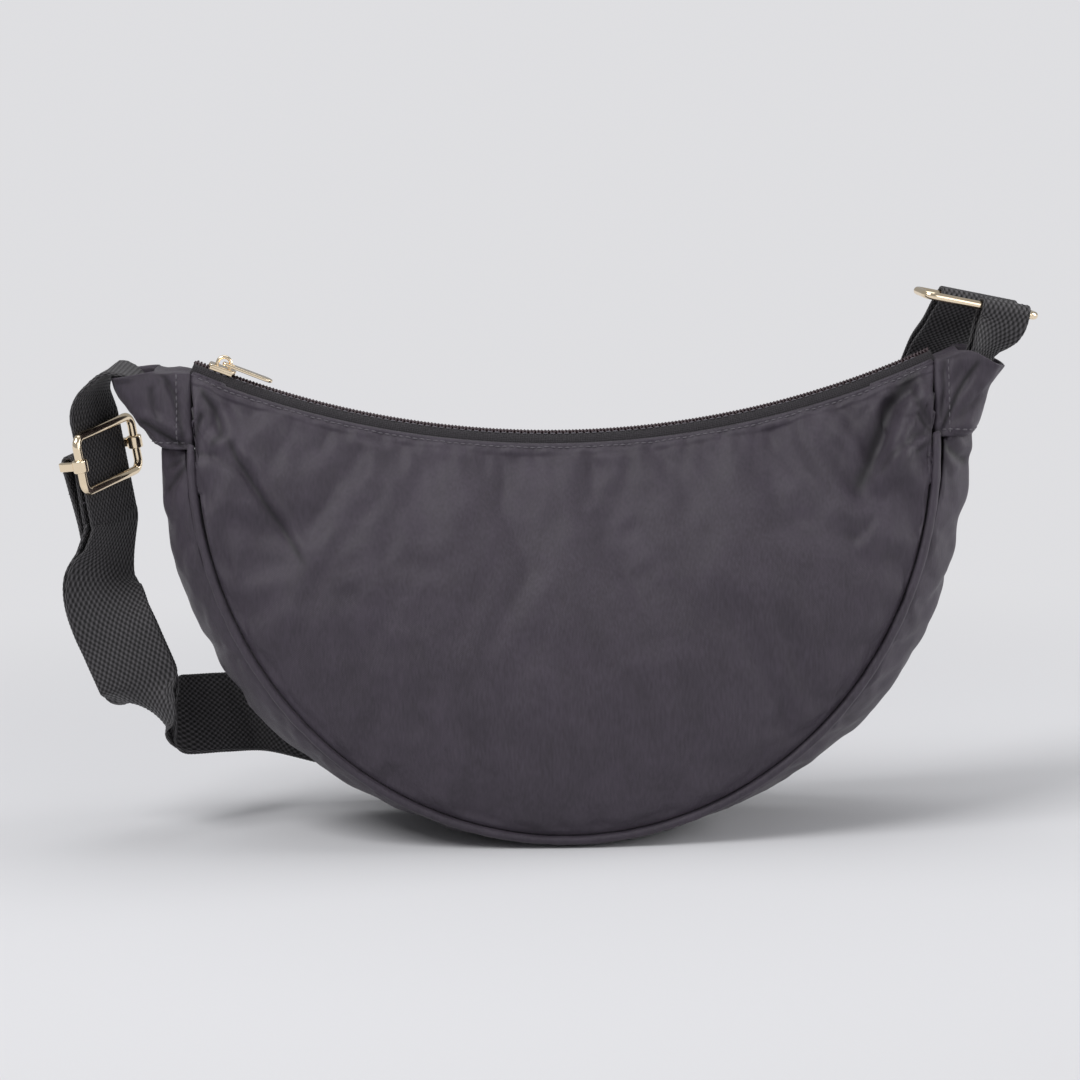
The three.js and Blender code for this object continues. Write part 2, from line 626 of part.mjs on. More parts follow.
// A closed wire ring with rounded corners in the plane of two directions
function wireRing(centre, wide, long, span, reach, corner, radius) {
  const frames = [];
  const turns = 6;
  const normal = wide.clone().cross(long);
  const corners = [[1, 1, 0], [-1, 1, 1], [-1, -1, 2], [1, -1, 3]];
  for (const [a, b, quarter] of corners) {
    for (let i = 0; i <= turns; i += 1) {
      const angle = (Math.PI / 2) * (quarter + i / turns);
      const side = wide.clone().multiplyScalar(Math.cos(angle)).addScaledVector(long, Math.sin(angle));
      const middle = centre.clone()
        .addScaledVector(wide, a * (span / 2 - corner))
        .addScaledVector(long, b * (reach / 2 - corner));
      frames.push({ centre: middle.addScaledVector(side, corner), side, up: normal });
    }
  }
  return carry(frames, round(radius, 10), true);
}

// A closed box or rod in the adjuster's own directions
function adjusterBox(a0, a1, d0, d1, i0, i1) {
  const corners = [[a0, i0], [a1, i0], [a1, i1], [a0, i1]];
  return solid(loft([d0, d1].map((d) => corners.map(([a, i]) => adjusterPoint(a, d, i)))));
}

function adjusterRod(rings, radius) {
  return solid(loft(rings.map((place) => round(radius, 12).map(place))));
}

function barShape() {
  const rail = railSpan / 2;
  const reach = RAIL_RADIUS + COLLAR_PLAY + COLLAR_WALL;
  const half = COLLAR_LENGTH / 2;
  const ends = [-rail, rail].map((a) => ([d, i]) => adjusterPoint(a, d, barDepth + i));
  let shape = adjusterRod(ends, BAR_RADIUS);
  for (const side of [-1, 1]) {
    const middle = side * rail;
    const leg = LEG_WIDTH / 2;
    const thick = BAR_RADIUS + LEG_STEP;
    const legTop = reach - COLLAR_WALL / 2;
    shape = shape.add(adjusterBox(middle - reach, middle + reach, -half, half, -reach, reach));
    shape = shape.add(adjusterBox(middle - leg, middle + leg, -thick, thick, legTop, barDepth + thick));
    const past = half + CUT_PAST;
    const bore = [-past, past].map((d) => ([a, i]) => adjusterPoint(middle + a, d, i));
    shape = shape.subtract(adjusterRod(bore, RAIL_RADIUS + COLLAR_PLAY));
  }
  return fromSolid(shape);
}

function addAdjuster() {
  const frame = wireRing(adjusterCentre, adjusterAcross, adjusterDown, railSpan, FRAME_LENGTH,
    FRAME_CORNER, RAIL_RADIUS);
  addPart('adjuster_frame', frame, goldPaint);
  addPart('adjuster_bar', barShape(), goldPaint);
}

// Keeper: a short loop of narrow webbing from the mouth of the right tab over the ring's front bar
function addRing() {
  const wire = wireRing(ringCentre, ringAcross, ringUp, ringSpan, RING_SHORT, RING_CORNER, RING_RADIUS);
  addPart('ring', wire, goldPaint);
  const foot = mouthPoint(1, KEEPER_REACH, KEEPER_LIFT);
  const rise = keeperBar.clone().sub(foot);
  const over = rise.addScaledVector(ringAcross, -rise.dot(ringAcross)).normalize();
  const behind = over.clone().cross(ringAcross);
  const leg = (back) => ({ at: foot.clone().addScaledVector(behind, back), across: KEEPER_ACROSS });
  const under = (back) => keeperBar.clone()
    .addScaledVector(behind, back)
    .addScaledVector(over, -KEEPER_STRAIGHT);
  const turn = wrap(keeperBar, ringWrap, behind.clone().negate(), over, 8);
  const bend = [under(-ringWrap), ...turn, under(ringWrap)].map(across(ringAcross));
  const keeper = [leg(-ringWrap), ...bend, leg(ringWrap)];
  addPart('ring_keeper', carry(webFrames(keeper, 3), ribbon(KEEPER_WIDTH)), webPaint);
}

addBody();
addZip();
addSlider();
addPart('left_tab', tabShape(-1), clothPaint);
addPart('right_tab', tabShape(1), clothPaint);
addStrap();
addAdjuster();
addRing();

export default bag;
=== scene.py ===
"""Looks of a half-moon bum bag: puckered cloth, a coil zip, woven webbing, pale gold fittings.

Metres, +Z up, front towards -Y. Every piece is made where its solid lies in the frame.
"""
import math

import bmesh
import bpy
import numpy as np
from mathutils import Matrix, Vector


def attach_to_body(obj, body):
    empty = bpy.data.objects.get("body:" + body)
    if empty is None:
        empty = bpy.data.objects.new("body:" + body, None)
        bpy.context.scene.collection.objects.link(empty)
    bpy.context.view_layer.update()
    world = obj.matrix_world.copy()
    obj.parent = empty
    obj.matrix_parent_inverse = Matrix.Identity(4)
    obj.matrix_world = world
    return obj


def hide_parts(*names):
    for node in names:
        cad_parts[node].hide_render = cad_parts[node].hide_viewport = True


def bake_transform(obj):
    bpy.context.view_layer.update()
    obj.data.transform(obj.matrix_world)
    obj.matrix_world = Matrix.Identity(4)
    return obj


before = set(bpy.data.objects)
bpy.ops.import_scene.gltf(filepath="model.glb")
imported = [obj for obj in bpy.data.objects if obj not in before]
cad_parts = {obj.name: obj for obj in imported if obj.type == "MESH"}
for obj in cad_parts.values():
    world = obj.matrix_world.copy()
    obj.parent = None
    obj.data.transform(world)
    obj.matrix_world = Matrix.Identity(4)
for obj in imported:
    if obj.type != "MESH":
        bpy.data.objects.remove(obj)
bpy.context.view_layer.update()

MM = 0.001
SCENE = bpy.context.scene

# Bag body
SEAM_HALF_WIDTH = 144 * MM
SEAM_END_Z = 155 * MM
SEAM_RISE = 152 * MM
BOTTOM_HALF_DEPTH = 38 * MM
END_HALF_DEPTH = 17 * MM
SEAM_SWELL = 0.7
PANEL_SLACK_BULGE = 14 * MM
PANEL_END_EASE = 0.02
PANEL_FULLNESS = 0.6
GUSSET_SIDE_BULGE = 15 * MM
GUSSET_BOTTOM_BULGE = 7 * MM
GUSSET_LEFT_BULGE = 12.6 * MM
GUSSET_RIGHT_BULGE = 15.2 * MM
CLOTH = 1 * MM
LINING = 0.6 * MM
PIPING_RADIUS = 1.7 * MM
GAP = 0.35 * MM
SEAM_CLEAR = PIPING_RADIUS + GAP
FLANGE_LENGTH, FLANGE_HALF = 4.4 * MM, 0.3 * MM
PIPING_TUCK = 1.6 * MM

# Zip
TAB_TOP_Z = 187 * MM
ZIP_DIP = 30 * MM
ZIP_HALF_CHORD = 143 * MM
ZIP_RADIUS = (ZIP_HALF_CHORD ** 2 + ZIP_DIP ** 2) / (2 * ZIP_DIP)
ZIP_CENTRE_Z = TAB_TOP_Z - ZIP_DIP + ZIP_RADIUS
ZIP_END_ANGLE = math.asin(ZIP_HALF_CHORD / ZIP_RADIUS)
ZIP_SEAM_HALF = 7 * MM
PANEL_TOP_DROP = 2.8 * MM
SLIDER_ANGLE = math.asin((10 * MM - ZIP_HALF_CHORD) / ZIP_RADIUS)

# Webbing and fittings
WEB_WIDTH = 32 * MM
WEB_THICKNESS = 1.8 * MM
WEB_LAYER_STEP = 3.5 * MM
WEB_STEPS = 12
NUB_ACROSS = 2.1 * MM
NUB_ALONG = 3 * MM
NUB_RISE = 0.34 * MM
RAIL_RADIUS = 1.7 * MM
BAR_RADIUS = 1.5 * MM
RING_RADIUS = 1.6 * MM
RING_WRAP = 2.85 * MM
KEEPER_WIDTH = 20 * MM


# Small maths

def unit(v):
    return v / np.linalg.norm(v, axis=-1, keepdims=True)


def place(x, y, z):
    return np.array([x, y, z]) * MM


def ease(low, high, value):
    t = np.clip((value - low) / (high - low), 0, 1)
    return t * t * (3 - 2 * t)


def lerp(a, b, t):
    return a + (b - a) * t


def along(points):
    """Length along a line of points, from its start."""
    steps = np.linalg.norm(np.diff(points, axis=0), axis=-1)
    return np.concatenate([np.zeros_like(steps[:1]), np.cumsum(steps, axis=0)])


def ripples(points, size, seed, waves=14):
    """Smooth random relief between about -1 and 1, made of sine waves of about one size."""
    draw = np.random.default_rng(seed)
    total = np.zeros(points.shape[:-1])
    for _ in range(waves):
        direction = unit(draw.normal(size=3))
        length = size * draw.uniform(0.7, 1.5)
        total += np.sin(points @ direction * (2 * math.pi / length) + draw.uniform(0, 2 * math.pi))
    return total / math.sqrt(waves)


def normals_of(grid, outwards):
    """Unit normals of a grid of points, turned to the side that outwards points to."""
    normal = unit(np.cross(np.gradient(grid, axis=0), np.gradient(grid, axis=1)) + 1e-15)
    normal[np.sum(normal * outwards, axis=-1) < 0] *= -1
    return normal


def along_rows(grid):
    """Length along each row of a grid, from the row's start."""
    return along(np.moveaxis(grid, 1, 0)).T


def pick(at, reach, points):
    """Points of a line at given reaches along it."""
    return np.stack([np.interp(at, reach, points[:, k]) for k in range(3)], axis=-1)


# Meshes

def add_object(name, data):
    """A new object in the scene, at the origin and unturned."""
    made = bpy.data.objects.new(name, data)
    SCENE.collection.objects.link(made)
    return made


def attach(piece, body, node):
    """Lets a piece ride a body in place of its named solid, which it hides."""
    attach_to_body(piece, body)
    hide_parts(node)


def clean(mesh, weld=0.0):
    """Joins points closer than weld and turns a mesh's faces outwards."""
    shape = bmesh.new()
    shape.from_mesh(mesh)
    if weld:
        bmesh.ops.remove_doubles(shape, verts=shape.verts, dist=weld)
    bmesh.ops.recalc_face_normals(shape, faces=shape.faces)
    shape.to_mesh(mesh)
    shape.free()


def shade_smooth(mesh):
    mesh.polygons.foreach_set("use_smooth", np.ones(len(mesh.polygons), dtype=bool))


def make_piece(name, points, faces, finish, corner_uv):
    """A smooth mesh object, its faces turned outwards."""
    mesh = bpy.data.meshes.new(name)
    mesh.from_pydata(np.asarray(points).reshape(-1, 3).tolist(), [], faces)
    layer = mesh.uv_layers.new(name="UVMap")
    layer.data.foreach_set("uv", np.asarray(corner_uv, dtype=np.float32).ravel())
    shade_smooth(mesh)
    clean(mesh)
    mesh.materials.append(finish)
    return add_object(name, mesh)


def quads(rows, columns, first=0, ring=False):
    """Corner numbers of the faces between rows of points; ring joins a row's end to its start."""
    steps = np.arange(columns if ring else columns - 1)
    i, j = np.meshgrid(np.arange(rows - 1), steps, indexing="ij")
    k = (j + 1) % columns
    here, after = i * columns, (i + 1) * columns
    return np.stack([here + j, after + j, after + k, here + k], axis=-1).reshape(-1, 4) + first


def thick_sheet(name, outer, normal, thickness, finish, flat):
    """Even cloth under a grid of points; flat gives each point's place on the flat cloth."""
    rows, columns = outer.shape[:2]
    count = rows * columns
    number = np.arange(count).reshape(rows, columns)
    rim = np.concatenate([number[:-1, 0], number[-1, :-1], number[:0:-1, -1], number[0, :0:-1]])
    after = np.roll(rim, -1)
    faces = np.concatenate([
        quads(rows, columns), quads(rows, columns, count)[:, ::-1],
        np.stack([rim, after, after + count, rim + count], axis=-1),
    ])
    points = np.concatenate([outer.reshape(-1, 3), (outer - normal * thickness).reshape(-1, 3)])
    corner_uv = np.concatenate([flat.reshape(-1, 2)] * 2)[faces.ravel()]
    return make_piece(name, points, faces.tolist(), finish, corner_uv)


def loft_piece(name, rings, finish, lengths=None, girth=None, closed=False):
    """A body through rings of points, with flat ends unless the last ring meets the first."""
    rings = np.asarray(rings)
    count, around = rings.shape[:2]
    body = np.concatenate([rings, rings[:1]]) if closed else rings
    if lengths is None:
        lengths = along(body.mean(axis=1))
    if girth is None:
        girth = along(np.concatenate([rings[0], rings[0, :1]]))
    faces = quads(len(body), around, ring=True)
    i, j = np.meshgrid(np.arange(len(body) - 1), np.arange(around), indexing="ij")
    corners = [(i, j), (i + 1, j), (i + 1, j + 1), (i, j + 1)]
    corner_uv = np.stack([np.stack([girth[b], lengths[a]], axis=-1) for a, b in corners], axis=2)
    corner_uv = corner_uv.reshape(-1, 2)
    faces = (faces % (count * around)).tolist()
    if not closed:
        last = (count - 1) * around
        faces += [list(range(around)), list(range(last + around - 1, last - 1, -1))]
        ends = np.stack([girth[:-1], np.zeros(around)], axis=-1)
        corner_uv = np.concatenate([corner_uv, ends, ends])
    return make_piece(name, rings, faces, finish, corner_uv)


def tube_rings(path, radius, sides, closed=False):
    """Rings of a round tube along a path."""
    tangent = np.gradient(np.concatenate([path[-1:], path, path[:1]]), axis=0)[1:-1] if closed \
        else np.gradient(path, axis=0)
    tangent = unit(tangent)
    frames = [unit(np.cross(tangent[0], [0.31, 0.73, 0.61]))]
    for t in tangent[1:]:
        frames.append(unit(frames[-1] - t * (frames[-1] @ t)))
    side = np.array(frames)
    up = np.cross(tangent, side)
    turn = np.linspace(0, 2 * math.pi, sides, endpoint=False)
    ring = side[:, None] * np.cos(turn)[None, :, None] + up[:, None] * np.sin(turn)[None, :, None]
    return path[:, None] + ring * radius


def plain_mesh(source, name, finish):
    """The evaluated shape of an object as a plain mesh object; the source is removed."""
    bpy.context.view_layer.update()
    graph = bpy.context.evaluated_depsgraph_get()
    mesh = bpy.data.meshes.new_from_object(source.evaluated_get(graph))
    mesh.name = name
    mesh.materials.clear()
    mesh.materials.append(finish)
    bpy.data.objects.remove(source)
    return add_object(name, mesh)


# Finishes

class Value:
    """A socket in a node tree; arithmetic on it adds Math nodes."""

    def __init__(self, tree, socket):
        self.tree = tree
        self.socket = socket

    def math(self, operation, a, b=0.0):
        return self.tree.node("ShaderNodeMath", {"operation": operation}, {0: a, 1: b})

    def __add__(self, other):
        return self.math("ADD", self, other)

    __radd__ = __add__

    def __sub__(self, other):
        return self.math("SUBTRACT", self, other)

    def __rsub__(self, other):
        return self.math("SUBTRACT", other, self)

    def __mul__(self, other):
        return self.math("MULTIPLY", self, other)

    __rmul__ = __mul__

    def wave(self, number):
        """Cosine of so many radians a metre."""
        return self.math("COSINE", self * number)

    def between(self, low, high):
        """0 below low, 1 above high and smooth between."""
        return self.tree.node("ShaderNodeMapRange", {"interpolation_type": "SMOOTHSTEP"},
                              {"Value": self, "From Min": low, "From Max": high})


class Tree:
    """The nodes of a material or of a modifier."""

    def __init__(self, group):
        self.group = group

    def node(self, kind, settings=None, sockets=None, output=0):
        node = self.group.nodes.new(kind)
        for key, value in (settings or {}).items():
            setattr(node, key, value)
        for key, value in (sockets or {}).items():
            self.feed(node.inputs[key], value)
        return Value(self, node.outputs[output])

    def feed(self, socket, value):
        if isinstance(value, Value):
            self.group.links.new(value.socket, socket)
        else:
            socket.default_value = value


class Finish(Tree):
    """A material on the standard surface shader."""

    def __init__(self, name, **constants):
        self.material = bpy.data.materials.new(name)
        self.material.use_nodes = True
        super().__init__(self.material.node_tree)
        self.shader = self.group.nodes["Principled BSDF"]
        for key, value in constants.items():
            self.shader.inputs[key.replace("_", " ")].default_value = value

    def noise(self, scale, detail=2.0, stretch=(1, 1, 1), rough=0.5):
        at = self.node("ShaderNodeTexCoord", output="Object")
        at = self.node("ShaderNodeMapping", sockets={"Vector": at, "Scale": stretch})
        return self.node("ShaderNodeTexNoise", sockets={
            "Vector": at, "Scale": scale, "Detail": detail, "Roughness": rough})

    def flat_place(self):
        """Place on the flat cloth, across and along, in metres."""
        at = self.node("ShaderNodeTexCoord", output="UV")
        return [self.node("ShaderNodeSeparateXYZ", sockets={0: at}, output=axis) for axis in "XY"]

    def stored(self, name):
        """A value kept on the mesh's points."""
        return self.node("ShaderNodeAttribute", {"attribute_name": name}, output="Fac")

    def colour(self, mask, first, second):
        first, second = (c if isinstance(c, Value) else (*c, 1) for c in (first, second))
        sockets = {0: mask, 6: first, 7: second}
        return self.node("ShaderNodeMix", {"data_type": "RGBA"}, sockets, output=2)

    def bump(self, height, distance, strength, under=None):
        sockets = {"Height": height, "Distance": distance * MM, "Strength": strength}
        if under:
            sockets["Normal"] = under
        return self.node("ShaderNodeBump", sockets=sockets)

    def coat(self, colour, roughness, normal):
        """The finished material, with its colour, roughness and relief."""
        for name, value in (("Base Color", colour), ("Roughness", roughness), ("Normal", normal)):
            self.feed(self.shader.inputs[name], value)
        return self.material


# Threads, in radians a metre
TWILL, TWILL_WARP, TWILL_WEFT, LINING_THREAD = 7800, 12600, 9400, 9000
NUB_ACROSS_WAVE, NUB_ALONG_WAVE = 2 * math.pi / NUB_ACROSS, 2 * math.pi / NUB_ALONG
RIB_ACROSS_WAVE, RIB_ALONG_WAVE = 2 * math.pi / (0.8 * MM), 2 * math.pi / (0.9 * MM)


def cloth_finish():
    """Matt nylon twill, charcoal with a violet tint, finely crumpled, with painted shade darkening
    it in its folds and puckers.
    """
    f = Finish("cloth_twill", Sheen_Weight=0.1, Sheen_Roughness=0.4, Specular_IOR_Level=0.42)
    across, down = f.flat_place()
    diagonal = (across + down).wave(TWILL)
    weave = diagonal * 0.35 + across.wave(TWILL_WARP) * down.wave(TWILL_WEFT) * 0.65
    crumple = f.noise(95, 4.0, (1, 1, 0.7), 0.55)
    soft = f.noise(28)
    slub = f.noise(1300, 1.0, (1, 1, 0.2))
    shade = crumple * 0.3 + soft * 0.2 + slub * 0.35 + weave * 0.1
    twill = f.colour(shade.between(0.2, 0.68), (0.0275, 0.0217, 0.0305), (0.055, 0.0435, 0.0615))
    creased = f.bump(crumple + soft * 0.6, 1.1, 0.42)
    # Painted shade: the stored fold value darkens the twill towards near black in creases and
    # puckers
    return f.coat(f.colour(f.stored("fold"), twill, (0.006, 0.005, 0.0065)), 0.45 + crumple * 0.2,
                  f.bump(weave + slub * 0.8, 0.07, 0.6, creased))


def webbing_finish():
    """Coarse woven webbing, near black: staggered nubs, with painted shade in the gaps between
    them.
    """
    f = Finish("webbing_weave", Sheen_Weight=0.08, Sheen_Roughness=0.4, Specular_IOR_Level=0.35)
    across, down = f.flat_place()
    fibre = f.noise(1500)
    height = across.wave(NUB_ACROSS_WAVE) * down.wave(NUB_ALONG_WAVE) * 0.5 + 0.5
    # Painted shade: colour follows the nubs' height, near black in the gaps between them; fibre
    # noise adds random tone
    shade = (height * 0.75 + fibre * 0.3).between(0.2, 1.0)
    return f.coat(f.colour(shade, (0.007, 0.0066, 0.0072), (0.092, 0.087, 0.093)),
                  0.7 - height * 0.18, f.bump(height + fibre * 0.35, 0.42, 0.85))


def lining_finish():
    f = Finish("lining_cloth", Specular_IOR_Level=0.3)
    across, down = f.flat_place()
    weave = across.wave(LINING_THREAD) * down.wave(LINING_THREAD) * 0.1
    soft = f.noise(40, 3.0)
    return f.coat(f.colour(soft * 0.8 + weave, (0.022, 0.02, 0.026), (0.038, 0.036, 0.044)),
                  0.55 + soft * 0.2, f.bump(weave + soft, 0.4, 0.5))


def tape_finish():
    """Close woven zip tape with ribs along its length."""
    f = Finish("zip_tape_weave", Sheen_Weight=0.08, Specular_IOR_Level=0.3)
    across, down = f.flat_place()
    ribs = across.wave(RIB_ACROSS_WAVE) * 0.5 + down.wave(RIB_ALONG_WAVE) * 0.5
    fibre = f.noise(1200)
    shade = (ribs * 0.3 + fibre).between(0.1, 0.9)
    return f.coat(f.colour(shade, (0.007, 0.006, 0.0075), (0.026, 0.022, 0.027)),
                  0.65 + fibre * 0.15, f.bump(ribs + fibre * 0.3, 0.15, 0.7))


def grained_finish(name, grain, dark, light, roughness, relief, **constants):
    """Nylon or thread with one fine grain."""
    f = Finish(name, **constants)
    grain = f.noise(*grain)
    return f.coat(f.colour(grain, dark, light), roughness + grain * 0.2, f.bump(grain, *relief))


def gold_finish():
    """Polished pale gold plating with faint handling marks."""
    f = Finish("pale_gold", Metallic=1.0)
    smear = f.noise(55, 3.0)
    scratch = f.noise(420, 3.0, (1, 0.08, 0.5))
    return f.coat(f.colour(smear, (0.90, 0.73, 0.51), (0.97, 0.83, 0.62)),
                  0.07 + smear * 0.07 + scratch.between(0.55, 0.75) * 0.1,
                  f.bump(scratch, 0.03, 0.25))


CLOTH_FINISH = cloth_finish()
WEB_FINISH = webbing_finish()
LINING_FINISH = lining_finish()
TAPE_FINISH = tape_finish()
COIL_FINISH = grained_finish("zip_coil_nylon", (700, 2.0), (0.028, 0.016, 0.02),
                             (0.07, 0.045, 0.052), 0.32, (0.05, 0.4), Specular_IOR_Level=0.5)
THREAD_FINISH = grained_finish("sewing_thread", (2600, 1.0), (0.05, 0.045, 0.054),
                               (0.15, 0.138, 0.158), 0.5, (0.1, 0.6), Sheen_Weight=0.1,
                               Specular_IOR_Level=0.35)
GOLD_FINISH = gold_finish()


# Camera, floor and light

CAMERA_TARGET, CAMERA_DISTANCE = Vector((-0.0098, 0, 0.1149)), 1.5
CAMERA_ELEVATION, CAMERA_ROLL = math.radians(9), math.radians(-1)
LAMP_TARGET = Vector((0, 0, 0.1))
LAMPS = [
    ("key_lamp", (-0.95, -0.82, 1.5), 0.9, 22.5),
    ("fill_lamp", (1.15, -1.2, 0.6), 1.0, 5),
    ("top_lamp", (0.05, 0.25, 1.5), 1.0, 4.5),
    ("side_lamp", (1.35, 0.1, 0.55), 0.7, 8),
]
FLOOR_REACH = 40.0


def aimed(at, back):
    """Turns a camera or lamp at a place so that back points away from what it faces."""
    return Matrix.Translation(at) @ back.to_track_quat("Z", "Y").to_matrix().to_4x4()


def studio():
    data = bpy.data.cameras.new("camera")
    data.lens = 127.5
    data.sensor_width = 36
    SCENE.camera = add_object("camera", data)
    back = Vector((0, -math.cos(CAMERA_ELEVATION), math.sin(CAMERA_ELEVATION)))
    SCENE.camera.matrix_world = (aimed(CAMERA_TARGET + back * CAMERA_DISTANCE, back)
                                 @ Matrix.Rotation(CAMERA_ROLL, 4, "Z"))
    SCENE.view_settings.view_transform = "Standard"

    SCENE.world = bpy.data.worlds.new("soft_room")
    SCENE.world.use_nodes = True
    sky = SCENE.world.node_tree.nodes["Background"].inputs
    sky["Color"].default_value = (0.93, 0.94, 0.96, 1)
    sky["Strength"].default_value = 0.36
    for name, at, size, power in LAMPS:
        light = bpy.data.lights.new(name, "AREA")
        light.size = size
        light.energy = power
        add_object(name, light).matrix_world = aimed(Vector(at), Vector(at) - LAMP_TARGET)

    mesh = bpy.data.meshes.new("floor")
    corners = [(-1, -1, 0), (1, -1, 0), (1, 1, 0), (-1, 1, 0)]
    mesh.from_pydata((np.array(corners) * FLOOR_REACH).tolist(), [], [(0, 1, 2, 3)])
    f = Finish("floor_paper", Base_Color=(0.68, 0.68, 0.70, 1),
               Roughness=0.9, Specular_IOR_Level=0.1)
    at = f.node("ShaderNodeTexCoord", output="Object")
    distance = f.node("ShaderNodeVectorMath", {"operation": "LENGTH"}, {0: at}, output="Value")
    paper = f.node("ShaderNodeEmission", sockets={
        "Color": (0.735, 0.735, 0.755, 1), "Strength": 1.0})
    mixed = f.node("ShaderNodeMixShader", sockets={
        0: distance.between(0.22, 0.6), 1: Value(f, f.shader.outputs[0]), 2: paper})
    f.feed(f.group.nodes["Material Output"].inputs[0], mixed)
    mesh.materials.append(f.material)
    add_object("floor", mesh)


studio()


# Webbing strap

ADJUSTER_CENTRE = place(-178, 0, 152)
ADJUSTER_DOWN = np.array([0.151023, 0.060409, -0.986683])
ADJUSTER_ACROSS = np.array([0.451429, 0.883760, 0.123204])
ADJUSTER_OUT = np.array([0.879434, -0.464024, 0.106198])
RUN_DEPTH = 2.95 * MM
BAR_DEPTH = 8.2 * MM
BAR_WRAP = 2.75 * MM
LOOP_TAIL = 24 * MM
LOOP_NIP = 0.6 * MM
RING_CENTRE = place(161.4, 2.8, 204.8)
RING_ACROSS = np.array([0.954352, 0.200916, -0.221008])
RING_UP = np.array([-0.198337, 0.979543, 0.034037])
RING_SPAN = 45.2 * MM
RING_SHORT = 16 * MM
STRAP_BAR = place(162.772, 11.259, 204.387)
KEEPER_BAR = place(171.671, -3.208, 202.517)
FOLD_UP = np.array([0.007253, 0.724134, 0.689621])
FOLD_BACK = np.array([-0.298595, 0.659745, -0.689621])


def at_adjuster(across, down, inward):
    return ADJUSTER_CENTRE + ADJUSTER_ACROSS * across + ADJUSTER_DOWN * down - ADJUSTER_OUT * inward


def station(x, y, z, *across):
    return place(x, y, z), np.array(across)


def straight(down):
    return at_adjuster(0, down * MM, RUN_DEPTH), ADJUSTER_ACROSS


ROLL_RADIUS = 8 * MM
ROLL_AXIS = np.array([0.8, 0, -0.6])
ROLL_DOWN = np.array([-0.6, 0, -0.8])
ROLL_BACK = np.array([0, 1.0, 0])
ROLL_START = place(-169, -3, 62)
ROLL_ANGLE = math.radians(42)


def rolled(degrees):
    """A station where the webbing rolls backwards over a slanting line, as it turns a corner."""
    turn = math.radians(degrees)
    around = ROLL_DOWN * math.cos(turn) + ROLL_BACK * math.sin(turn)
    at = ROLL_START + ROLL_RADIUS * (ROLL_DOWN * math.sin(turn) + ROLL_BACK * (1 - math.cos(turn))
                                     + ROLL_AXIS * turn / math.tan(ROLL_ANGLE))
    return at, ROLL_AXIS * math.sin(ROLL_ANGLE) - around * math.cos(ROLL_ANGLE)


STRAP_START = [
    station(-155.8, 0, 166.2, 0, 1, 0), station(-159.5, 0, 172.2, 0, 1, 0),
    station(-162.71, 0, 178.21, 0, 1, 0), station(-164.34, 0, 181.48, 0, 1, 0),
    station(-174.5, 0.3, 185.5, 0.12, 0.99, 0.05), station(-181.5, 0.5, 178, 0.28, 0.95, 0.1),
    straight(-17), straight(-13), straight(0), straight(14), straight(20),
]
STRAP_BACK = [
    straight(24.35), straight(27.5),
    station(-179, 1.4, 111.5, 0.54, 0.83, 0.13), station(-181.3, -1, 101.5, 0.84, 0.52, 0.12),
    station(-179.6, -2.8, 90, 0.96, 0.2, 0.17), station(-174.8, -3.5, 77, 0.97, 0, 0.2),
    rolled(0), rolled(50), rolled(100), rolled(150),
    station(-140, 24, 43, 0.1, -0.4, -0.9), station(-121, 42, 39.5, 0, -0.25, -0.96),
    station(-92, 53, 30, -0.1, -0.18, -0.98), station(-50, 56, 22, -0.03, -0.1, -1),
    station(0, 56.5, 18, 0, -0.05, -1), station(48, 56, 21, 0.08, -0.05, -1),
    station(88, 54.5, 37, 0.45, -0.05, -0.88), station(116, 52.5, 66, 0.8, -0.05, -0.58),
    station(133, 49.5, 104, 0.95, -0.05, -0.3), station(143, 45.5, 142, 0.98, -0.1, -0.18),
    station(148, 43.5, 165, 1, 0, -0.15), station(153, 36.5, 184, 0.95, 0.25, -0.2),
]
STRAP_RISE = [
    (STRAP_BAR + (FOLD_BACK * back + FOLD_UP * up) * MM, RING_ACROSS)
    for back, up in [(17, 2), (8, 2.85), (0.35, 2.85)]
]


def smooth_route(points, steps):
    """A centripetal Catmull-Rom curve through the points, with even steps between neighbours."""
    points = np.asarray(points, dtype=float)
    padded = np.concatenate([[2 * points[0] - points[1]], points, [2 * points[-1] - points[-2]]])
    out = []
    for i in range(len(points) - 1):
        p0, p1, p2, p3 = padded[i:i + 4]
        d0, d1, d2 = [max(np.linalg.norm(b - a), 1e-9) ** 0.5
                      for a, b in ((p0, p1), (p1, p2), (p2, p3))]
        t1 = ((p1 - p0) / d0 - (p2 - p0) / (d0 + d1) + (p2 - p1) / d1) * d1
        t2 = ((p2 - p1) / d1 - (p3 - p1) / (d1 + d2) + (p3 - p2) / d2) * d1
        s = np.arange(steps)[:, None] / steps
        out.append(p1 + t1 * s + (3 * (p2 - p1) - 2 * t1 - t2) * s ** 2
                   + (2 * (p1 - p2) + t1 + t2) * s ** 3)
    return np.concatenate(out + [points[-1:]])


def web_frames(stations, steps=WEB_STEPS):
    """Middles, sides and upward directions of webbing through its stations."""
    middle = smooth_route([at for at, _ in stations], steps)
    side = smooth_route([across for _, across in stations], steps)
    return square_frames(middle, side)


def square_frames(middle, side):
    tangent = unit(np.gradient(middle, axis=0))
    side = unit(side - tangent * np.sum(side * tangent, axis=-1, keepdims=True))
    return middle, side, np.cross(tangent, side)


def half_turn(centre, radius, start, over, steps):
    turn = np.linspace(0, math.pi, steps)[:, None]
    return centre + radius * (start * np.cos(turn) + over * np.sin(turn))


def even_frames(frames, step):
    """The same frames at an even step along the middle."""
    reach = along(frames[0])
    at = np.linspace(0, reach[-1], max(int(round(reach[-1] / step)), 4) + 1)
    middle, side, up = (pick(at, reach, part) for part in frames)
    return middle, unit(side), unit(up)


BEAD_STEPS, BEAD_NUBS = 4, 5
BEAD_SINK = 0.12 * MM


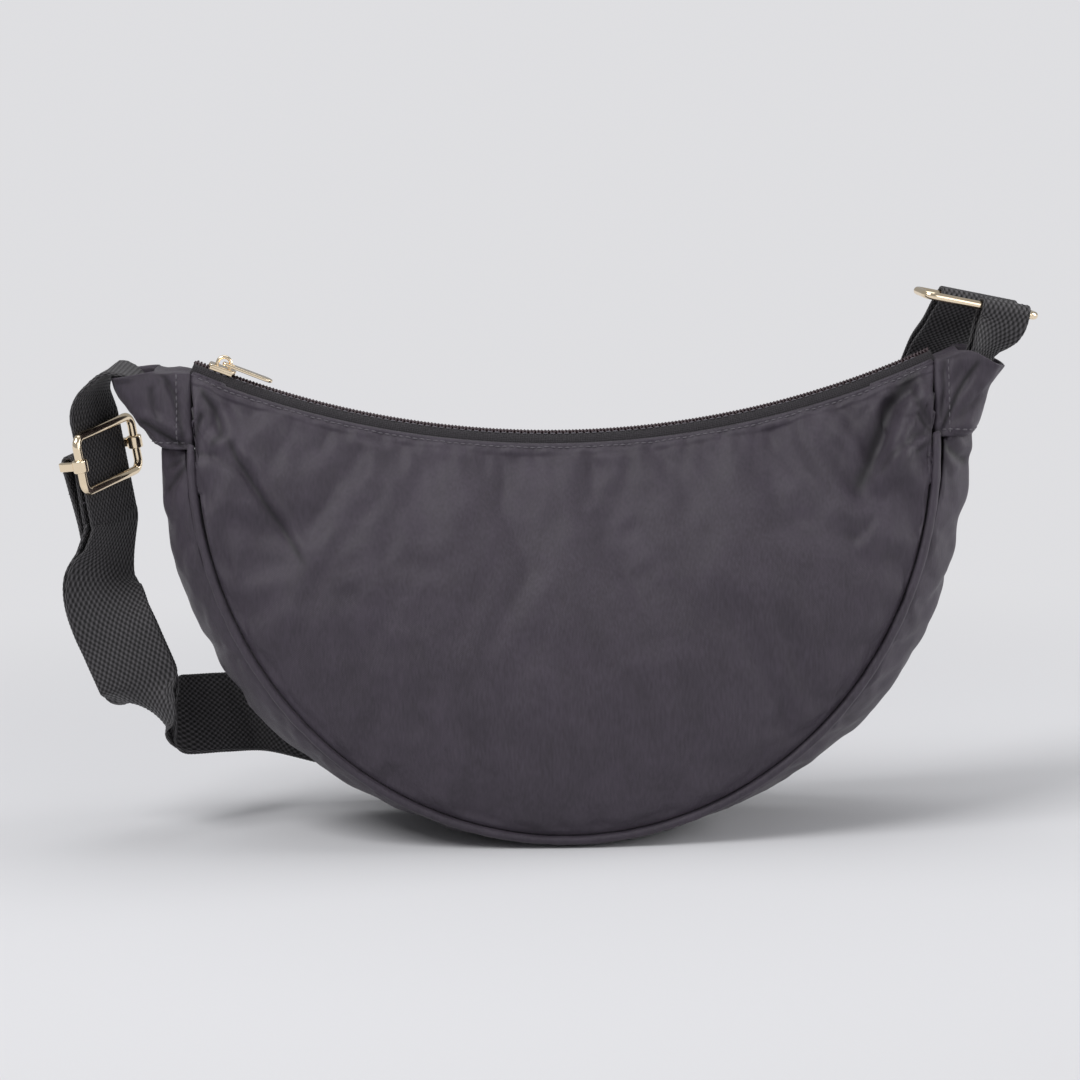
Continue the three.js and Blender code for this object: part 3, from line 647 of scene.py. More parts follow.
def web_piece(name, frames, width=WEB_WIDTH):
    """Webbing with rounded selvedges: on both faces the threads stand up as staggered nubs."""
    middle, side, up = even_frames(frames, NUB_ALONG / 4)
    thick = WEB_THICKNESS / 2
    flat_half = width / 2 - thick
    columns = int(round(2 * flat_half / (NUB_ACROSS / 2))) + 1
    bend = np.linspace(-math.pi / 2, math.pi / 2, BEAD_STEPS + 1)[1:-1]
    section = [(a, -thick) for a in np.linspace(-flat_half, flat_half, columns)]
    section += [(flat_half + math.cos(a) * thick, math.sin(a) * thick) for a in bend]
    section = np.array(section + [(-a, -b) for a, b in section])
    face = columns - 1 + BEAD_NUBS
    bead = columns - 1 + BEAD_NUBS * np.arange(1, BEAD_STEPS) / BEAD_STEPS
    number = np.concatenate([np.arange(columns), bead])
    number = np.concatenate([number, number + face])
    row = np.arange(len(middle))[:, None]
    along_wave = np.cos(math.pi / 2 * row)
    nub = np.cos(math.pi * number)[None] * along_wave
    on_face = (np.abs(section[:, 1]) > 0.99 * thick)[None]
    sink = np.where(on_face, NUB_RISE * (0.5 - 0.5 * nub), BEAD_SINK * along_wave ** 2)
    sunk = section - np.sign(section) * sink[..., None]
    reach = np.where(on_face, section[:, 0], sunk[..., 0])[..., None]
    rise = np.where(on_face, sunk[..., 1], section[:, 1])[..., None]
    rings = middle[:, None] + side[:, None] * reach + up[:, None] * rise
    piece = loft_piece(name, rings, WEB_FINISH, lengths=row[:, 0] * NUB_ALONG / 4,
                       girth=np.append(number, 2 * face) * NUB_ACROSS / 2)
    return piece


def follow_bar(piece):
    """Bakes the piece's place into its mesh; two places along the loop's tail are worked out and
    not used.
    """
    depth = RUN_DEPTH + WEB_LAYER_STEP
    tuple(at_adjuster(0, LOOP_TAIL, depth))
    tuple(at_adjuster(0, LOOP_TAIL / 3, depth))
    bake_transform(piece)


def follow_ring(piece):
    """Bakes the piece's place into its mesh."""
    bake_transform(piece)


RETURN_SPLIT = 0.58
LOOP_LIP = 9 * MM
LOOP_STEPS = 4


def build_strap():
    """The belt's upper layer, its return in two pieces and its sewn end; gives the end's frames."""
    run = web_frames(STRAP_START + STRAP_BACK + STRAP_RISE)
    fold = half_turn(STRAP_BAR, RING_WRAP, FOLD_UP, -FOLD_BACK, 14)[1:]
    whole = square_frames(np.concatenate([run[0], fold]),
                          np.concatenate([run[1], np.repeat(RING_ACROSS[None], len(fold), axis=0)]))
    strap_run = web_piece("strap_run_webbing", whole)
    follow_ring(strap_run)
    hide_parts("strap_run", "strap_fold")

    middle, side, up = (part[WEB_STEPS * len(STRAP_START):] for part in run)
    share = np.linspace(0, 1, len(middle))[:, None]
    step = lerp(WEB_LAYER_STEP, 2 * RING_WRAP, ease(0.85, 1, share))
    back = square_frames(middle - up * step, side)
    cut = int(len(share) * RETURN_SPLIT)
    right = web_piece("strap_return_right", [part[cut:][::-1] for part in back])
    follow_ring(right)
    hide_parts("strap_return")
    left = web_piece("strap_return_left", [part[:cut + 1] for part in back])
    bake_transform(left)
    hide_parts("strap_return")

    front = RUN_DEPTH + WEB_LAYER_STEP
    behind = front + WEB_THICKNESS + 2 * GAP
    loop_middle = np.concatenate([
        [at_adjuster(0, LOOP_TAIL, front), at_adjuster(0, LOOP_TAIL / 3, front - LOOP_NIP)],
        half_turn(at_adjuster(0, 0, BAR_DEPTH), BAR_WRAP, ADJUSTER_OUT, -ADJUSTER_DOWN, 9),
        [at_adjuster(0, LOOP_TAIL / 3, BAR_DEPTH + BAR_WRAP - LOOP_NIP),
         at_adjuster(0, LOOP_TAIL, behind), at_adjuster(0, LOOP_TAIL + LOOP_LIP, behind)],
    ])
    loop = web_frames([(at, ADJUSTER_ACROSS) for at in loop_middle], LOOP_STEPS)
    strap_end = web_piece("strap_end_webbing", loop)
    follow_bar(strap_end)
    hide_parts("strap_end_loop")

    return loop


STRAP_LOOP = build_strap()


def build_keeper():
    foot = place(162.735, 0, 185.24)
    over = np.array([0.2622, -0.2087, 0.9423])
    behind = np.array([-0.1432, 0.9572, 0.2519])
    low_across = np.array([0.6, 0.8, 0])
    turn = half_turn(KEEPER_BAR, RING_WRAP, -behind, over, 9)
    stations = []
    for side in (-1, 1):
        leg = behind * RING_WRAP * side
        rise = [
            (foot + leg * 0.7 - over * 9 * MM, low_across), (foot + leg, low_across),
            (KEEPER_BAR + leg - over * 5 * MM, RING_ACROSS),
        ]
        stations += rise + [(at, RING_ACROSS) for at in turn] if side < 0 else rise[::-1]
    keeper = web_piece("ring_keeper_webbing", web_frames(stations, 4), KEEPER_WIDTH)
    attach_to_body(keeper, "bag")
    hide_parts("ring_keeper")


build_keeper()


# Bag cloth

def seam_half_depth(angle):
    return lerp(END_HALF_DEPTH, BOTTOM_HALF_DEPTH, np.maximum(-np.sin(angle), 0) ** SEAM_SWELL)


def seam_place(angle, inset=0.0):
    """x and z on the half-moon seam; angle runs from the left end, pi, to the right end."""
    x = (SEAM_HALF_WIDTH - inset) * np.cos(angle)
    return x, SEAM_END_Z + (SEAM_RISE - inset) * np.sin(angle)


def zip_place(angle, lift=0.0):
    return (ZIP_RADIUS - lift) * np.sin(angle), ZIP_CENTRE_Z - (ZIP_RADIUS - lift) * np.cos(angle)


def panel_grid(side, across, down, bulge):
    """Half-moon panel between the zip and the bottom seam; side is -1 in front and 1 behind."""
    a, t = across[:, None], down[None, :]
    top_x, top_z = zip_place(ZIP_END_ANGLE * (2 * a - 1), -PANEL_TOP_DROP)
    angle = math.pi * (1 + a)
    low_x, low_z = seam_place(angle, SEAM_CLEAR)
    ends = np.sin(math.pi * lerp(PANEL_END_EASE, 1 - PANEL_END_EASE, a)) ** PANEL_FULLNESS
    depth = lerp(ZIP_SEAM_HALF, seam_half_depth(angle) + GAP, t) + bulge * 4 * t * (1 - t) * ends
    return np.stack([lerp(top_x, low_x, t), side * depth, lerp(top_z, low_z, t)], axis=-1)


def gusset_grid(run, across):
    """Strip between the two bottom seams, full at the sides and flat under the bag."""
    angle = math.pi * (1 + run)[:, None]
    half = seam_half_depth(angle)
    v = (2 * across - 1)[None, :] * (1 - SEAM_CLEAR / half)
    low = -np.sin(angle)
    end = np.where(np.cos(angle) < 0, GUSSET_LEFT_BULGE, GUSSET_RIGHT_BULGE)
    shoulder = lerp(end, GUSSET_SIDE_BULGE, ease(-0.02, 0.3, low))
    bulge = lerp(shoulder, GUSSET_BOTTOM_BULGE, ease(0.6, 1, low)) * (1 - v ** 2)
    out = unit(np.stack([np.cos(angle) / SEAM_HALF_WIDTH, np.sin(angle) / SEAM_RISE], axis=-1))
    x, z = seam_place(angle)
    above_floor = np.maximum(z + out[..., 1] * bulge, 0.5 * MM)
    return np.stack([x + out[..., 0] * bulge, half * v, above_floor], axis=-1)


CLOTH_RULES = {
    "quality": 6, "mass": 0.15, "tension_stiffness": 25, "compression_stiffness": 12,
    "shear_stiffness": 8, "bending_stiffness": 0.04, "tension_damping": 10,
    "compression_damping": 10, "air_damping": 6, "use_pressure": True, "vertex_group_mass": "sewn",
}
SETTLING_FRAMES = 24


def settle(grid, outwards, grow, pressure, cap):
    """Lets a sheet sewn down on all its edges swell and pucker, no point further than cap."""
    rows, columns = grid.shape[:2]
    faces = quads(rows, columns)
    corner = grid.reshape(-1, 3)[faces[0]]
    if np.cross(corner[1] - corner[0], corner[3] - corner[0]) @ outwards[0, 0] < 0:
        faces = faces[:, ::-1]
    mesh = bpy.data.meshes.new("settling_cloth")
    mesh.from_pydata(grid.reshape(-1, 3).tolist(), [], faces.tolist())
    cloth = add_object("settling_cloth", mesh)
    edge = np.ones((rows, columns), dtype=bool)
    edge[1:-1, 1:-1] = False
    sewn = cloth.vertex_groups.new(name="sewn")
    sewn.add(np.flatnonzero(edge.ravel()).tolist(), 1.0, "REPLACE")
    modifier = cloth.modifiers.new("cloth", "CLOTH")
    swelling = {"shrink_min": -grow, "shrink_max": -grow, "uniform_pressure_force": pressure}
    for key, value in {**CLOTH_RULES, **swelling}.items():
        setattr(modifier.settings, key, value)
    modifier.settings.effector_weights.gravity = 0
    modifier.collision_settings.use_collision = False
    modifier.point_cache.frame_end = SETTLING_FRAMES
    for number in range(1, SETTLING_FRAMES + 1):
        SCENE.frame_set(number)
    graph = bpy.context.evaluated_depsgraph_get()
    settled = np.empty(rows * columns * 3, dtype=np.float32)
    cloth.evaluated_get(graph).data.vertices.foreach_get("co", settled)
    SCENE.frame_set(1)
    bpy.data.objects.remove(cloth)
    move = settled.reshape(rows, columns, 3) - grid
    far = np.linalg.norm(move, axis=-1, keepdims=True)
    return move * (cap * np.tanh(far / cap) / np.maximum(far, 1e-9))


def refine(field, coarse, fine):
    """A field on a coarse grid, brought smoothly to a finer one."""
    for axis in (0, 1):
        field = np.moveaxis(field, axis, 0)
        flat = field.reshape(len(field), -1)
        out = np.stack([np.interp(fine[axis], coarse[axis], column) for column in flat.T], axis=1)
        field = np.moveaxis(out.reshape(-1, *field.shape[1:]), 0, axis)
    for _ in range(3):
        for axis in (0, 1):
            line = np.moveaxis(field, axis, 0)
            soft = line.copy()
            soft[1:-1] = (line[2:] + 2 * line[1:-1] + line[:-2]) / 4
            field = np.moveaxis(soft, 0, axis)
    return field


def beside_line(points, line):
    """Distance to the left of a line of (x, z) places in mm, and the share of the line passed."""
    at = points[..., [0, 2]]
    line = np.array(line, dtype=float) * MM
    reach = along(line)
    best = np.full(at.shape[:-1], np.inf)
    sign = np.zeros_like(best)
    share = np.zeros_like(best)
    for i in range(len(line) - 1):
        step = line[i + 1] - line[i]
        t = np.clip(((at - line[i]) @ step) / (step @ step), 0, 1)
        away = at - line[i] - t[..., None] * step
        far = np.linalg.norm(away, axis=-1)
        near = far < best
        turn = step[0] * away[..., 1] - step[1] * away[..., 0]
        best = np.where(near, far, best)
        sign = np.where(near, np.sign(turn), sign)
        share = np.where(near, (reach[i] + t * (reach[i + 1] - reach[i])) / reach[-1], share)
    return best * sign, share


def crease(points, line, depth, width, ridge):
    """Relief of a fold along (x, z) places in mm: a groove with a ridge on its left side."""
    away, share = beside_line(points, line)
    offset = away / (width * MM)
    taper = ease(0, 0.25, share) * (1 - ease(0.6, 1, share))
    groove = -np.exp(-offset ** 2) + ridge * np.exp(-((offset - 1.9) / 1.2) ** 2)
    return depth * MM * taper * groove


def pucker(points, centre, depth, size, folds, phase):
    """Relief of a gathered point: a dimple with small folds that run out from it."""
    away = points - centre
    far = np.linalg.norm(away, axis=-1)
    turn = np.arctan2(away[..., 2], away[..., 0])
    dimple = np.exp(-(far / size) ** 2)
    star = np.cos(folds * turn + phase) + 0.5 * np.cos((folds + 3) * turn - 2 * phase)
    return depth * (-dimple + 0.42 * star * np.exp(-far / (2.4 * size)) * (1 - dimple))


def creased(points, creases):
    return sum(crease(points, *one) for one in creases)


def puckered(points, depth, size, folds, seed):
    return sum(pucker(points, centre, depth * MM, size * MM, folds, seed + number)
               for number, centre in enumerate(PUCKER_POINTS))


def rumpled(points, seed, *waves):
    """Relief of ripples; each wave is a height and a size in mm."""
    return sum(height * MM * ripples(points, size * MM, seed + number)
               for number, (height, size) in enumerate(waves))


def gathered(length, waves, drift):
    """Small folds that a seam draws up, in two mixed wavelengths in mm."""
    first, second = (length * (2 * math.pi / (wave * MM)) for wave in waves)
    return np.sin(first + drift) + 0.6 * np.sin(second - drift)


def beside_seam(distance, fade):
    """How strong gathers are beside a seam: none at the seam, and fading away from it."""
    return np.exp(-distance / (fade * MM)) * ease(1 * MM, 4 * MM, distance)


def rolled_in(distance, depth, width):
    """Depth to which cloth rolls in towards its edge."""
    return depth * MM * (1 - ease(0, width * MM, distance)) ** 2


def paint_fold_shade(piece, points, creases):
    """Painted shade for a piece's folds and puckers: how deep in one each point of its outer face
    lies, 0 to 1.
    """
    deep = np.zeros(points.shape[:-1])
    for line, depth, width, _ in creases:
        away, share = beside_line(points, line)
        sharp = np.clip(1.4 * (depth / width - 0.3), 0, 0.85)
        ends = ease(0, 0.14, share) * (1 - ease(0.86, 1, share))
        deep = np.maximum(deep, sharp * ends * np.exp(-(away / (0.55 * width * MM)) ** 2))
    # Painted shade at the puckers as well
    for centre in PUCKER_POINTS:
        far = np.linalg.norm(points - centre, axis=-1)
        deep = np.maximum(deep, 0.8 * np.exp(-(far / (2.6 * MM)) ** 2))
    values = np.zeros(len(piece.data.vertices))
    values[:deep.size] = deep.ravel()
    piece.data.attributes.new("fold", "FLOAT", "POINT").data.foreach_set("value", values)


# Folds: x and z of places along each, depth and width, in mm, and the ridge's share of the depth
FRONT_CREASES = [
    ([(-131, 163), (-126, 152), (-116, 136), (-105, 119), (-98, 109)], 1.5, 1.8, 1.0),
    ([(-139.5, 170), (-141.5, 163), (-143.5, 157)], 1.1, 1.3, 0.8),
    ([(-142.5, 153.5), (-137, 153.5), (-133, 154)], 0.8, 1.2, 0.6),
    ([(-141, 180), (-135, 170), (-132, 161), (-138, 156)], 1.6, 2.0, 0.9),
    ([(-139, 157), (-131, 150), (-120, 146)], 1.0, 2.4, 0.6),
    ([(140, 181), (133, 175.5), (126.5, 167.5), (123.5, 160), (118.5, 147), (111, 132)],
     5.0, 4.2, 0.8),
    ([(136, 166), (139.5, 160), (142.5, 156.5)], 1.1, 1.3, 0.8),
    ([(135, 149.5), (139, 152), (143, 154.5)], 1.0, 1.3, 0.7),
    ([(132, 179), (138, 167), (143, 159)], 1.4, 2.0, 0.8),
    ([(143, 158), (135, 156), (126, 150), (121, 141)], 1.3, 2.2, 0.7),
    ([(112, 127), (119, 120), (121, 111)], 1.0, 2.6, 0.7),
    ([(120, 128), (113, 119), (106, 115)], 0.9, 2.4, 0.6),
    ([(104, 132), (96, 126), (84, 123), (70, 124)], 0.8, 4.0, 0.5),
    ([(-30, 158), (-27, 146), (-29, 133)], 0.6, 4.5, 0.5),
    ([(12, 157), (10, 144), (14, 130)], 0.5, 4.0, 0.5),
    ([(58, 160), (55, 148), (60, 134)], 0.6, 4.5, 0.5),
    ([(-84, 168), (-80, 152), (-86, 138)], 0.7, 4.5, 0.5),
]
GUSSET_CREASES = [
    ([(-144.6, 151), (-150, 144), (-155, 137)], 1.2, 1.6, 0.6),
    ([(-144.6, 153), (-150, 149.5), (-155, 146.5)], 1.0, 1.5, 0.6),
    ([(145, 153.5), (150.5, 148.5), (157, 143)], 2.0, 2.2, 0.9),
    ([(145, 150), (149, 140), (151, 128)], 0.9, 2.4, 0.6),
]
BACK_CREASES = [
    ([(-134, 178), (-124, 158), (-112, 136), (-96, 120)], 1.8, 4.0, 0.7),
    ([(133, 180), (126, 160), (118, 142), (104, 126)], 1.6, 4.0, 0.7),
    ([(-60, 40), (-20, 46), (30, 42), (62, 50)], 0.9, 6.0, 0.5),
    ([(-20, 157), (-18, 142), (-24, 128)], 0.6, 4.5, 0.5),
    ([(44, 158), (48, 144), (42, 130)], 0.6, 4.5, 0.5),
]
PUCKER_POINTS = [(side_x * SEAM_HALF_WIDTH, side_y * END_HALF_DEPTH, SEAM_END_Z + 1 * MM)
                 for side_x in (-1, 1) for side_y in (-1, 1)]
PANEL_COLUMNS, PANEL_ROWS = 290, 112
PANEL_SIM = np.linspace(0, 1, 93), np.linspace(0, 1, 47)
PANEL_CUT, PANEL_AREA = (0.33, 0.2), 0.0365
GUSSET_ROWS, GUSSET_COLUMNS = 460, 46
GUSSET_SIM = np.linspace(0, 1, 151), np.linspace(0, 1, 25)
GUSSET_CUT, GUSSET_AREA = (0.09, 0.46), 0.0335
EDGE_CROWDING = 0.099
LINING_DEPTH = CLOTH + 0.9 * MM
HEM_STITCH = 2.2 * MM
HEM_STITCH_LIFT = 0.16 * MM
FLOOR_CLEAR = 0.4 * MM
STITCH_LINES = []


def edge_dense(count):
    """Steps from 0 to 1, closer together at both ends."""
    t = np.linspace(0, 1, count + 1)
    return t - EDGE_CROWDING * np.sin(2 * math.pi * t)


def nearest_end(lengths):
    return np.minimum(lengths, lengths[-1:] - lengths)


def edge_distance(grid):
    """Distance of each point from the nearest edge of its grid, along the cloth."""
    return np.minimum(nearest_end(along_rows(grid).T).T, nearest_end(along(grid)))


def hang(name, outer, normal, cloth_uv, thickness, finish, slot_name, **laid):
    """A sheet of cloth on the bag in place of its solid; laid is not used."""
    piece = thick_sheet(name + "_cloth", outer, normal, thickness, finish, cloth_uv)
    attach(piece, "bag", name)
    return piece


def build_lining(name, outer, normal, long_wide, **laid):
    """Plain lining a little inside the cloth, clear of the seams."""
    steps = [np.linspace(0, size, count) for size, count in zip(long_wide, outer.shape)]
    flat = np.stack(np.meshgrid(*steps, indexing="ij"), axis=-1)
    hang(name, outer - normal * LINING_DEPTH, normal, flat, LINING, LINING_FINISH, "lining", **laid)


def build_panel(name, side, creases, seed):
    """A panel with a hem and stitch row at the zip, puckers and its own creases, and its lining."""
    fine = np.linspace(0, 1, PANEL_COLUMNS + 1), edge_dense(PANEL_ROWS)
    facing = np.array([0, side, 0.0])
    calm = panel_grid(side, *PANEL_SIM, PANEL_SLACK_BULGE)
    slack = calm.copy()
    slack[1:-1, 1:-1, 1] += rumpled(calm, seed, (0.4, 17))[1:-1, 1:-1]
    move = settle(slack, normals_of(slack, facing), grow=0.03, pressure=1.6, cap=6 * MM)
    grid = panel_grid(side, *fine, PANEL_SLACK_BULGE)
    held = ease(0, 7 * MM, edge_distance(grid))
    grid = grid + refine(move + slack - calm, PANEL_SIM, fine) * held[..., None]
    gathers = np.array(PUCKER_POINTS)[None, :, None]
    away = np.linalg.norm(grid[:, None] - gathers, axis=-1).min(axis=1)
    corner = np.exp(-(away / (6 * MM)) ** 2)[..., None]
    normal = unit(lerp(normals_of(grid, facing), facing, corner))
    from_zip = along_rows(grid)
    from_seam = from_zip[:, -1:] - from_zip
    from_end = nearest_end(along(grid))
    x = grid[..., 0]
    gather = gathered(x, (12.5, 7.1), ripples(grid, 60 * MM, seed + 1) * 2.2)
    relief = rumpled(grid, seed + 2, (0.34, 34), (0.10, 11))
    relief += ease(0.1, 1.1, ripples(grid, 70 * MM, seed + 4)) * rumpled(grid, seed + 5, (0.22, 9))
    relief += gather * MM * (0.62 * beside_seam(from_zip, 10) + 0.22 * beside_seam(from_seam, 7))
    relief += creased(grid, creases) * ease(4 * MM, 12 * MM, from_zip)
    relief *= ease(0, 3 * MM, from_zip) * ease(0, 3 * MM, from_seam) * ease(0, 2.5 * MM, from_end)
    relief += puckered(grid, 2.4, 5, 5, seed) * ease(0, 5 * MM, edge_distance(grid))
    relief *= 1 - corner[..., 0]
    # The hem is a second layer, drawn in by its stitches and turned under at the zip
    relief += 0.55 * MM * (1 - ease(4.6 * MM, 5.6 * MM, from_zip))
    relief -= 0.45 * MM * np.exp(-((from_zip - HEM_STITCH) / (0.6 * MM)) ** 2)
    relief -= 1.1 * MM * (1 - ease(0, 1.2 * MM, from_zip))
    relief -= rolled_in(from_seam, 0.6, 3) + rolled_in(from_end, 0.9, 2.2)
    shape = grid + normal * relief[..., None]
    face = unit(lerp(normals_of(shape, facing), facing, corner))
    cloth_uv = np.stack([x, from_zip], axis=-1)
    panel = hang(name + "_panel", shape, face, cloth_uv, CLOTH, CLOTH_FINISH, "cloth",
                 flat=PANEL_CUT, area=PANEL_AREA, rests_on=[name + "_piping", "zip_tape_" + name])
    paint_fold_shade(panel, shape, creases)
    inner = slice(6, -6, 4), slice(7, -7, 3)
    build_lining(name + "_lining", shape[inner], face[inner], PANEL_CUT,
                 flat=PANEL_CUT, area=PANEL_AREA, rests_on=[name + "_panel"])
    lifted = shape + face * HEM_STITCH_LIFT
    STITCH_LINES.append(np.array([pick(HEM_STITCH, *at) for at in zip(from_zip, lifted)][4:-4]))


def gusset_facing(run):
    angle = math.pi * (1 + run)
    return np.stack([np.cos(angle), 0 * angle, np.sin(angle)], axis=-1)[:, None]


def build_gusset():
    """The strip round the bag, gathered at its seams and pleated at its ends, and its lining."""
    fine = np.linspace(0, 1, GUSSET_ROWS + 1), edge_dense(GUSSET_COLUMNS)
    grid, facing = gusset_grid(*fine), gusset_facing(fine[0])
    calm, out = gusset_grid(*GUSSET_SIM), gusset_facing(GUSSET_SIM[0])
    slack = calm.copy()
    slack[1:-1, 1:-1] += rumpled(calm, 51, (0.4, 15))[1:-1, 1:-1, None] * out[1:-1]
    move = settle(slack, normals_of(slack, out), grow=0.014, pressure=0.4, cap=0.9 * MM)
    grid = grid + refine(move + slack - calm, GUSSET_SIM, fine)
    normal = normals_of(grid, facing)
    from_front = along_rows(grid)
    width = from_front[:, -1:]
    from_edge = np.minimum(from_front, width - from_front)
    from_end = np.minimum(fine[0], 1 - fine[0])[:, None] * GUSSET_CUT[1]
    drift = ripples(grid, 50 * MM, 52) * 2
    length = along(grid[:, GUSSET_COLUMNS // 2])[:, None]
    relief = rumpled(grid, 53, (0.3, 26), (0.12, 9))
    relief += 0.3 * MM * gathered(length, (10, 6.3), drift) * beside_seam(from_edge, 6)
    pleats = np.sin(from_front / width * (2 * math.pi * 3.5) + drift * 0.6)
    pleats *= np.exp(-from_end / (20 * MM)) * np.sin(math.pi * from_front / width)
    relief += 0.8 * MM * pleats
    relief += puckered(grid, 2.2, 5, 5, 60) + creased(grid, GUSSET_CREASES)
    relief *= ease(0, 3 * MM, from_edge)
    relief -= rolled_in(from_edge, 0.6, 3)
    shape = grid + normal * relief[..., None]
    shape[..., 2] = np.maximum(shape[..., 2], FLOOR_CLEAR)
    normal = normals_of(shape, facing)
    flat = np.stack(np.broadcast_arrays(from_front, length), axis=-1)
    gusset = hang("gusset", shape, normal, flat, CLOTH, CLOTH_FINISH, "cloth",
                  flat=GUSSET_CUT, area=GUSSET_AREA, rests_on=["front_piping", "back_piping"])
    paint_fold_shade(gusset, shape, GUSSET_CREASES)
    inner = slice(6, -6, 3), slice(5, -5, 2)
    build_lining("gusset_lining", shape[inner], normal[inner], GUSSET_CUT[::-1],
                 flat=GUSSET_CUT, area=GUSSET_AREA, rests_on=["gusset"])


def piping_rings(path, swell, angle, side):
    """Rings of a covered cord with its sewn-in flange between the panel and the gusset."""
    inset_x, inset_z = seam_place(angle, 1 * MM)
    inwards = unit(np.stack([inset_x - path[:, 0], 0 * angle, inset_z - path[:, 2]], axis=-1))
    flange = unit(inwards + [0, -side, 0])
    beside = np.cross(unit(np.gradient(path, axis=0)), flange)
    turn = np.radians(np.arange(30, 331, 30))
    tips = np.ones((len(path), 2))
    out = np.concatenate([swell[:, None] * np.cos(turn), tips * FLANGE_LENGTH], axis=1)
    edges = tips * [-FLANGE_HALF, FLANGE_HALF]
    to_side = np.concatenate([swell[:, None] * np.sin(turn), edges], axis=1)
    return path[:, None] + flange[:, None] * out[..., None] + beside[:, None] * to_side[..., None]


def build_piping():
    """The covered cords in the front and back seams."""
    angle = np.linspace(math.pi, 2 * math.pi, 361)
    x, z = seam_place(angle)
    for name, side in [("front_piping", -1), ("back_piping", 1)]:
        path = np.stack([x, side * seam_half_depth(angle), z], axis=-1)
        path[[0, -1], 2] += PIPING_TUCK
        swell = PIPING_RADIUS * (1 + 0.05 * ripples(path, 9 * MM, 70 + side))
        piping = loft_piece(name + "_cord", piping_rings(path, swell, angle, side), CLOTH_FINISH)
        attach(piping, "bag", name)


build_panel("front", -1, FRONT_CREASES, 11)
build_panel("back", 1, BACK_CREASES, 29)
build_gusset()
build_piping()


# End tabs

LEFT_TAB_CREASES = [
    ([(-165, 168), (-158, 163.5), (-146, 156)], 1.8, 1.9, 0.9),
    ([(-159, 181), (-158, 172), (-156, 165)], 1.0, 1.6, 0.7),
    ([(-155, 186), (-150, 176), (-146.5, 157)], 1.3, 1.7, 0.8),
    ([(-167, 163), (-156, 160), (-147, 157)], 0.9, 2.2, 0.7),
]
RIGHT_TAB_CREASES = [
    ([(145.5, 157), (152, 171), (157, 179), (162, 186)], 2.0, 1.8, -0.9),
    ([(172, 177), (161, 169), (148, 158)], 1.2, 2.6, 0.8),
    ([(148, 186), (147.5, 176), (145.5, 160)], 1.0, 1.5, 0.6),
]
TAB_RINGS, TAB_AROUND = 48, 160
TAB_REACH = 26 * MM
TAB_SECTION_STEPS = 8001
TAB_FOOT_ROW = 0.085
TAB_SIDE_ROW_X = 149.3 * MM
TAB_STITCH_LIFT = 0.14 * MM
# The turned-in lip: which ring from the top, how far inside it and how far above it, in mm
TAB_LIP = [(-1, 0.45, 0.3), (-1, 1, 0.1), (-2, 1.6, 0), (-4, 2.2, 0), (-8, 2.6, 0), (-13, 3, 0)]


def tab_section():
    """A tab's section in even steps, square towards the bag: reach 0 to 1 and depth -1 to 1."""
    turn = np.linspace(0, 2 * math.pi, TAB_SECTION_STEPS)
    sharp = np.where(np.cos(turn) < 0, 0.2, 0.62)
    wide, deep = (np.sign(v) * np.abs(v) ** sharp for v in (np.cos(turn), np.sin(turn)))
    reach = (1 + wide) / 2
    run = along(np.stack([reach * TAB_REACH, deep * END_HALF_DEPTH], axis=-1))
    even = np.linspace(0, run[-1], TAB_AROUND, endpoint=False)
    return np.interp(even, run, reach), np.interp(even, run, deep)


TAB_OUTWARDS, TAB_ACROSS = tab_section()


def tab_ring(side, t, foot, top_reach, curve, fall, mouth_start, mouth_half, crest):
    """One level of a tab, from its foot on the gusset, 0, to its mouth, 1."""
    inner = lerp(SEAM_HALF_WIDTH - SEAM_CLEAR + 0.2 * MM, SEAM_HALF_WIDTH + GAP, t)
    outer = SEAM_HALF_WIDTH + GAP + lerp(foot, top_reach, curve(t))
    closing = mouth_start * ease(0.9, 1, t)
    reach = lerp(closing, 1, TAB_OUTWARDS)
    inner_half = lerp(END_HALF_DEPTH + 0.4 * MM, ZIP_SEAM_HALF + 0.6 * MM, t)
    inner_half += 1.2 * MM * math.sin(math.pi * t)
    outer_half = lerp(END_HALF_DEPTH, mouth_half, ease(-0.2, 0.8, t))
    half = lerp(inner_half, outer_half, ease(-0.2, 1, reach))
    top = TAB_TOP_Z - fall * reach + crest * np.exp(-((reach - 0.5) / 0.3) ** 2)
    return np.stack([side * lerp(inner, outer, reach), half * TAB_ACROSS,
                     lerp(SEAM_END_Z + GAP, top, t)], axis=-1)


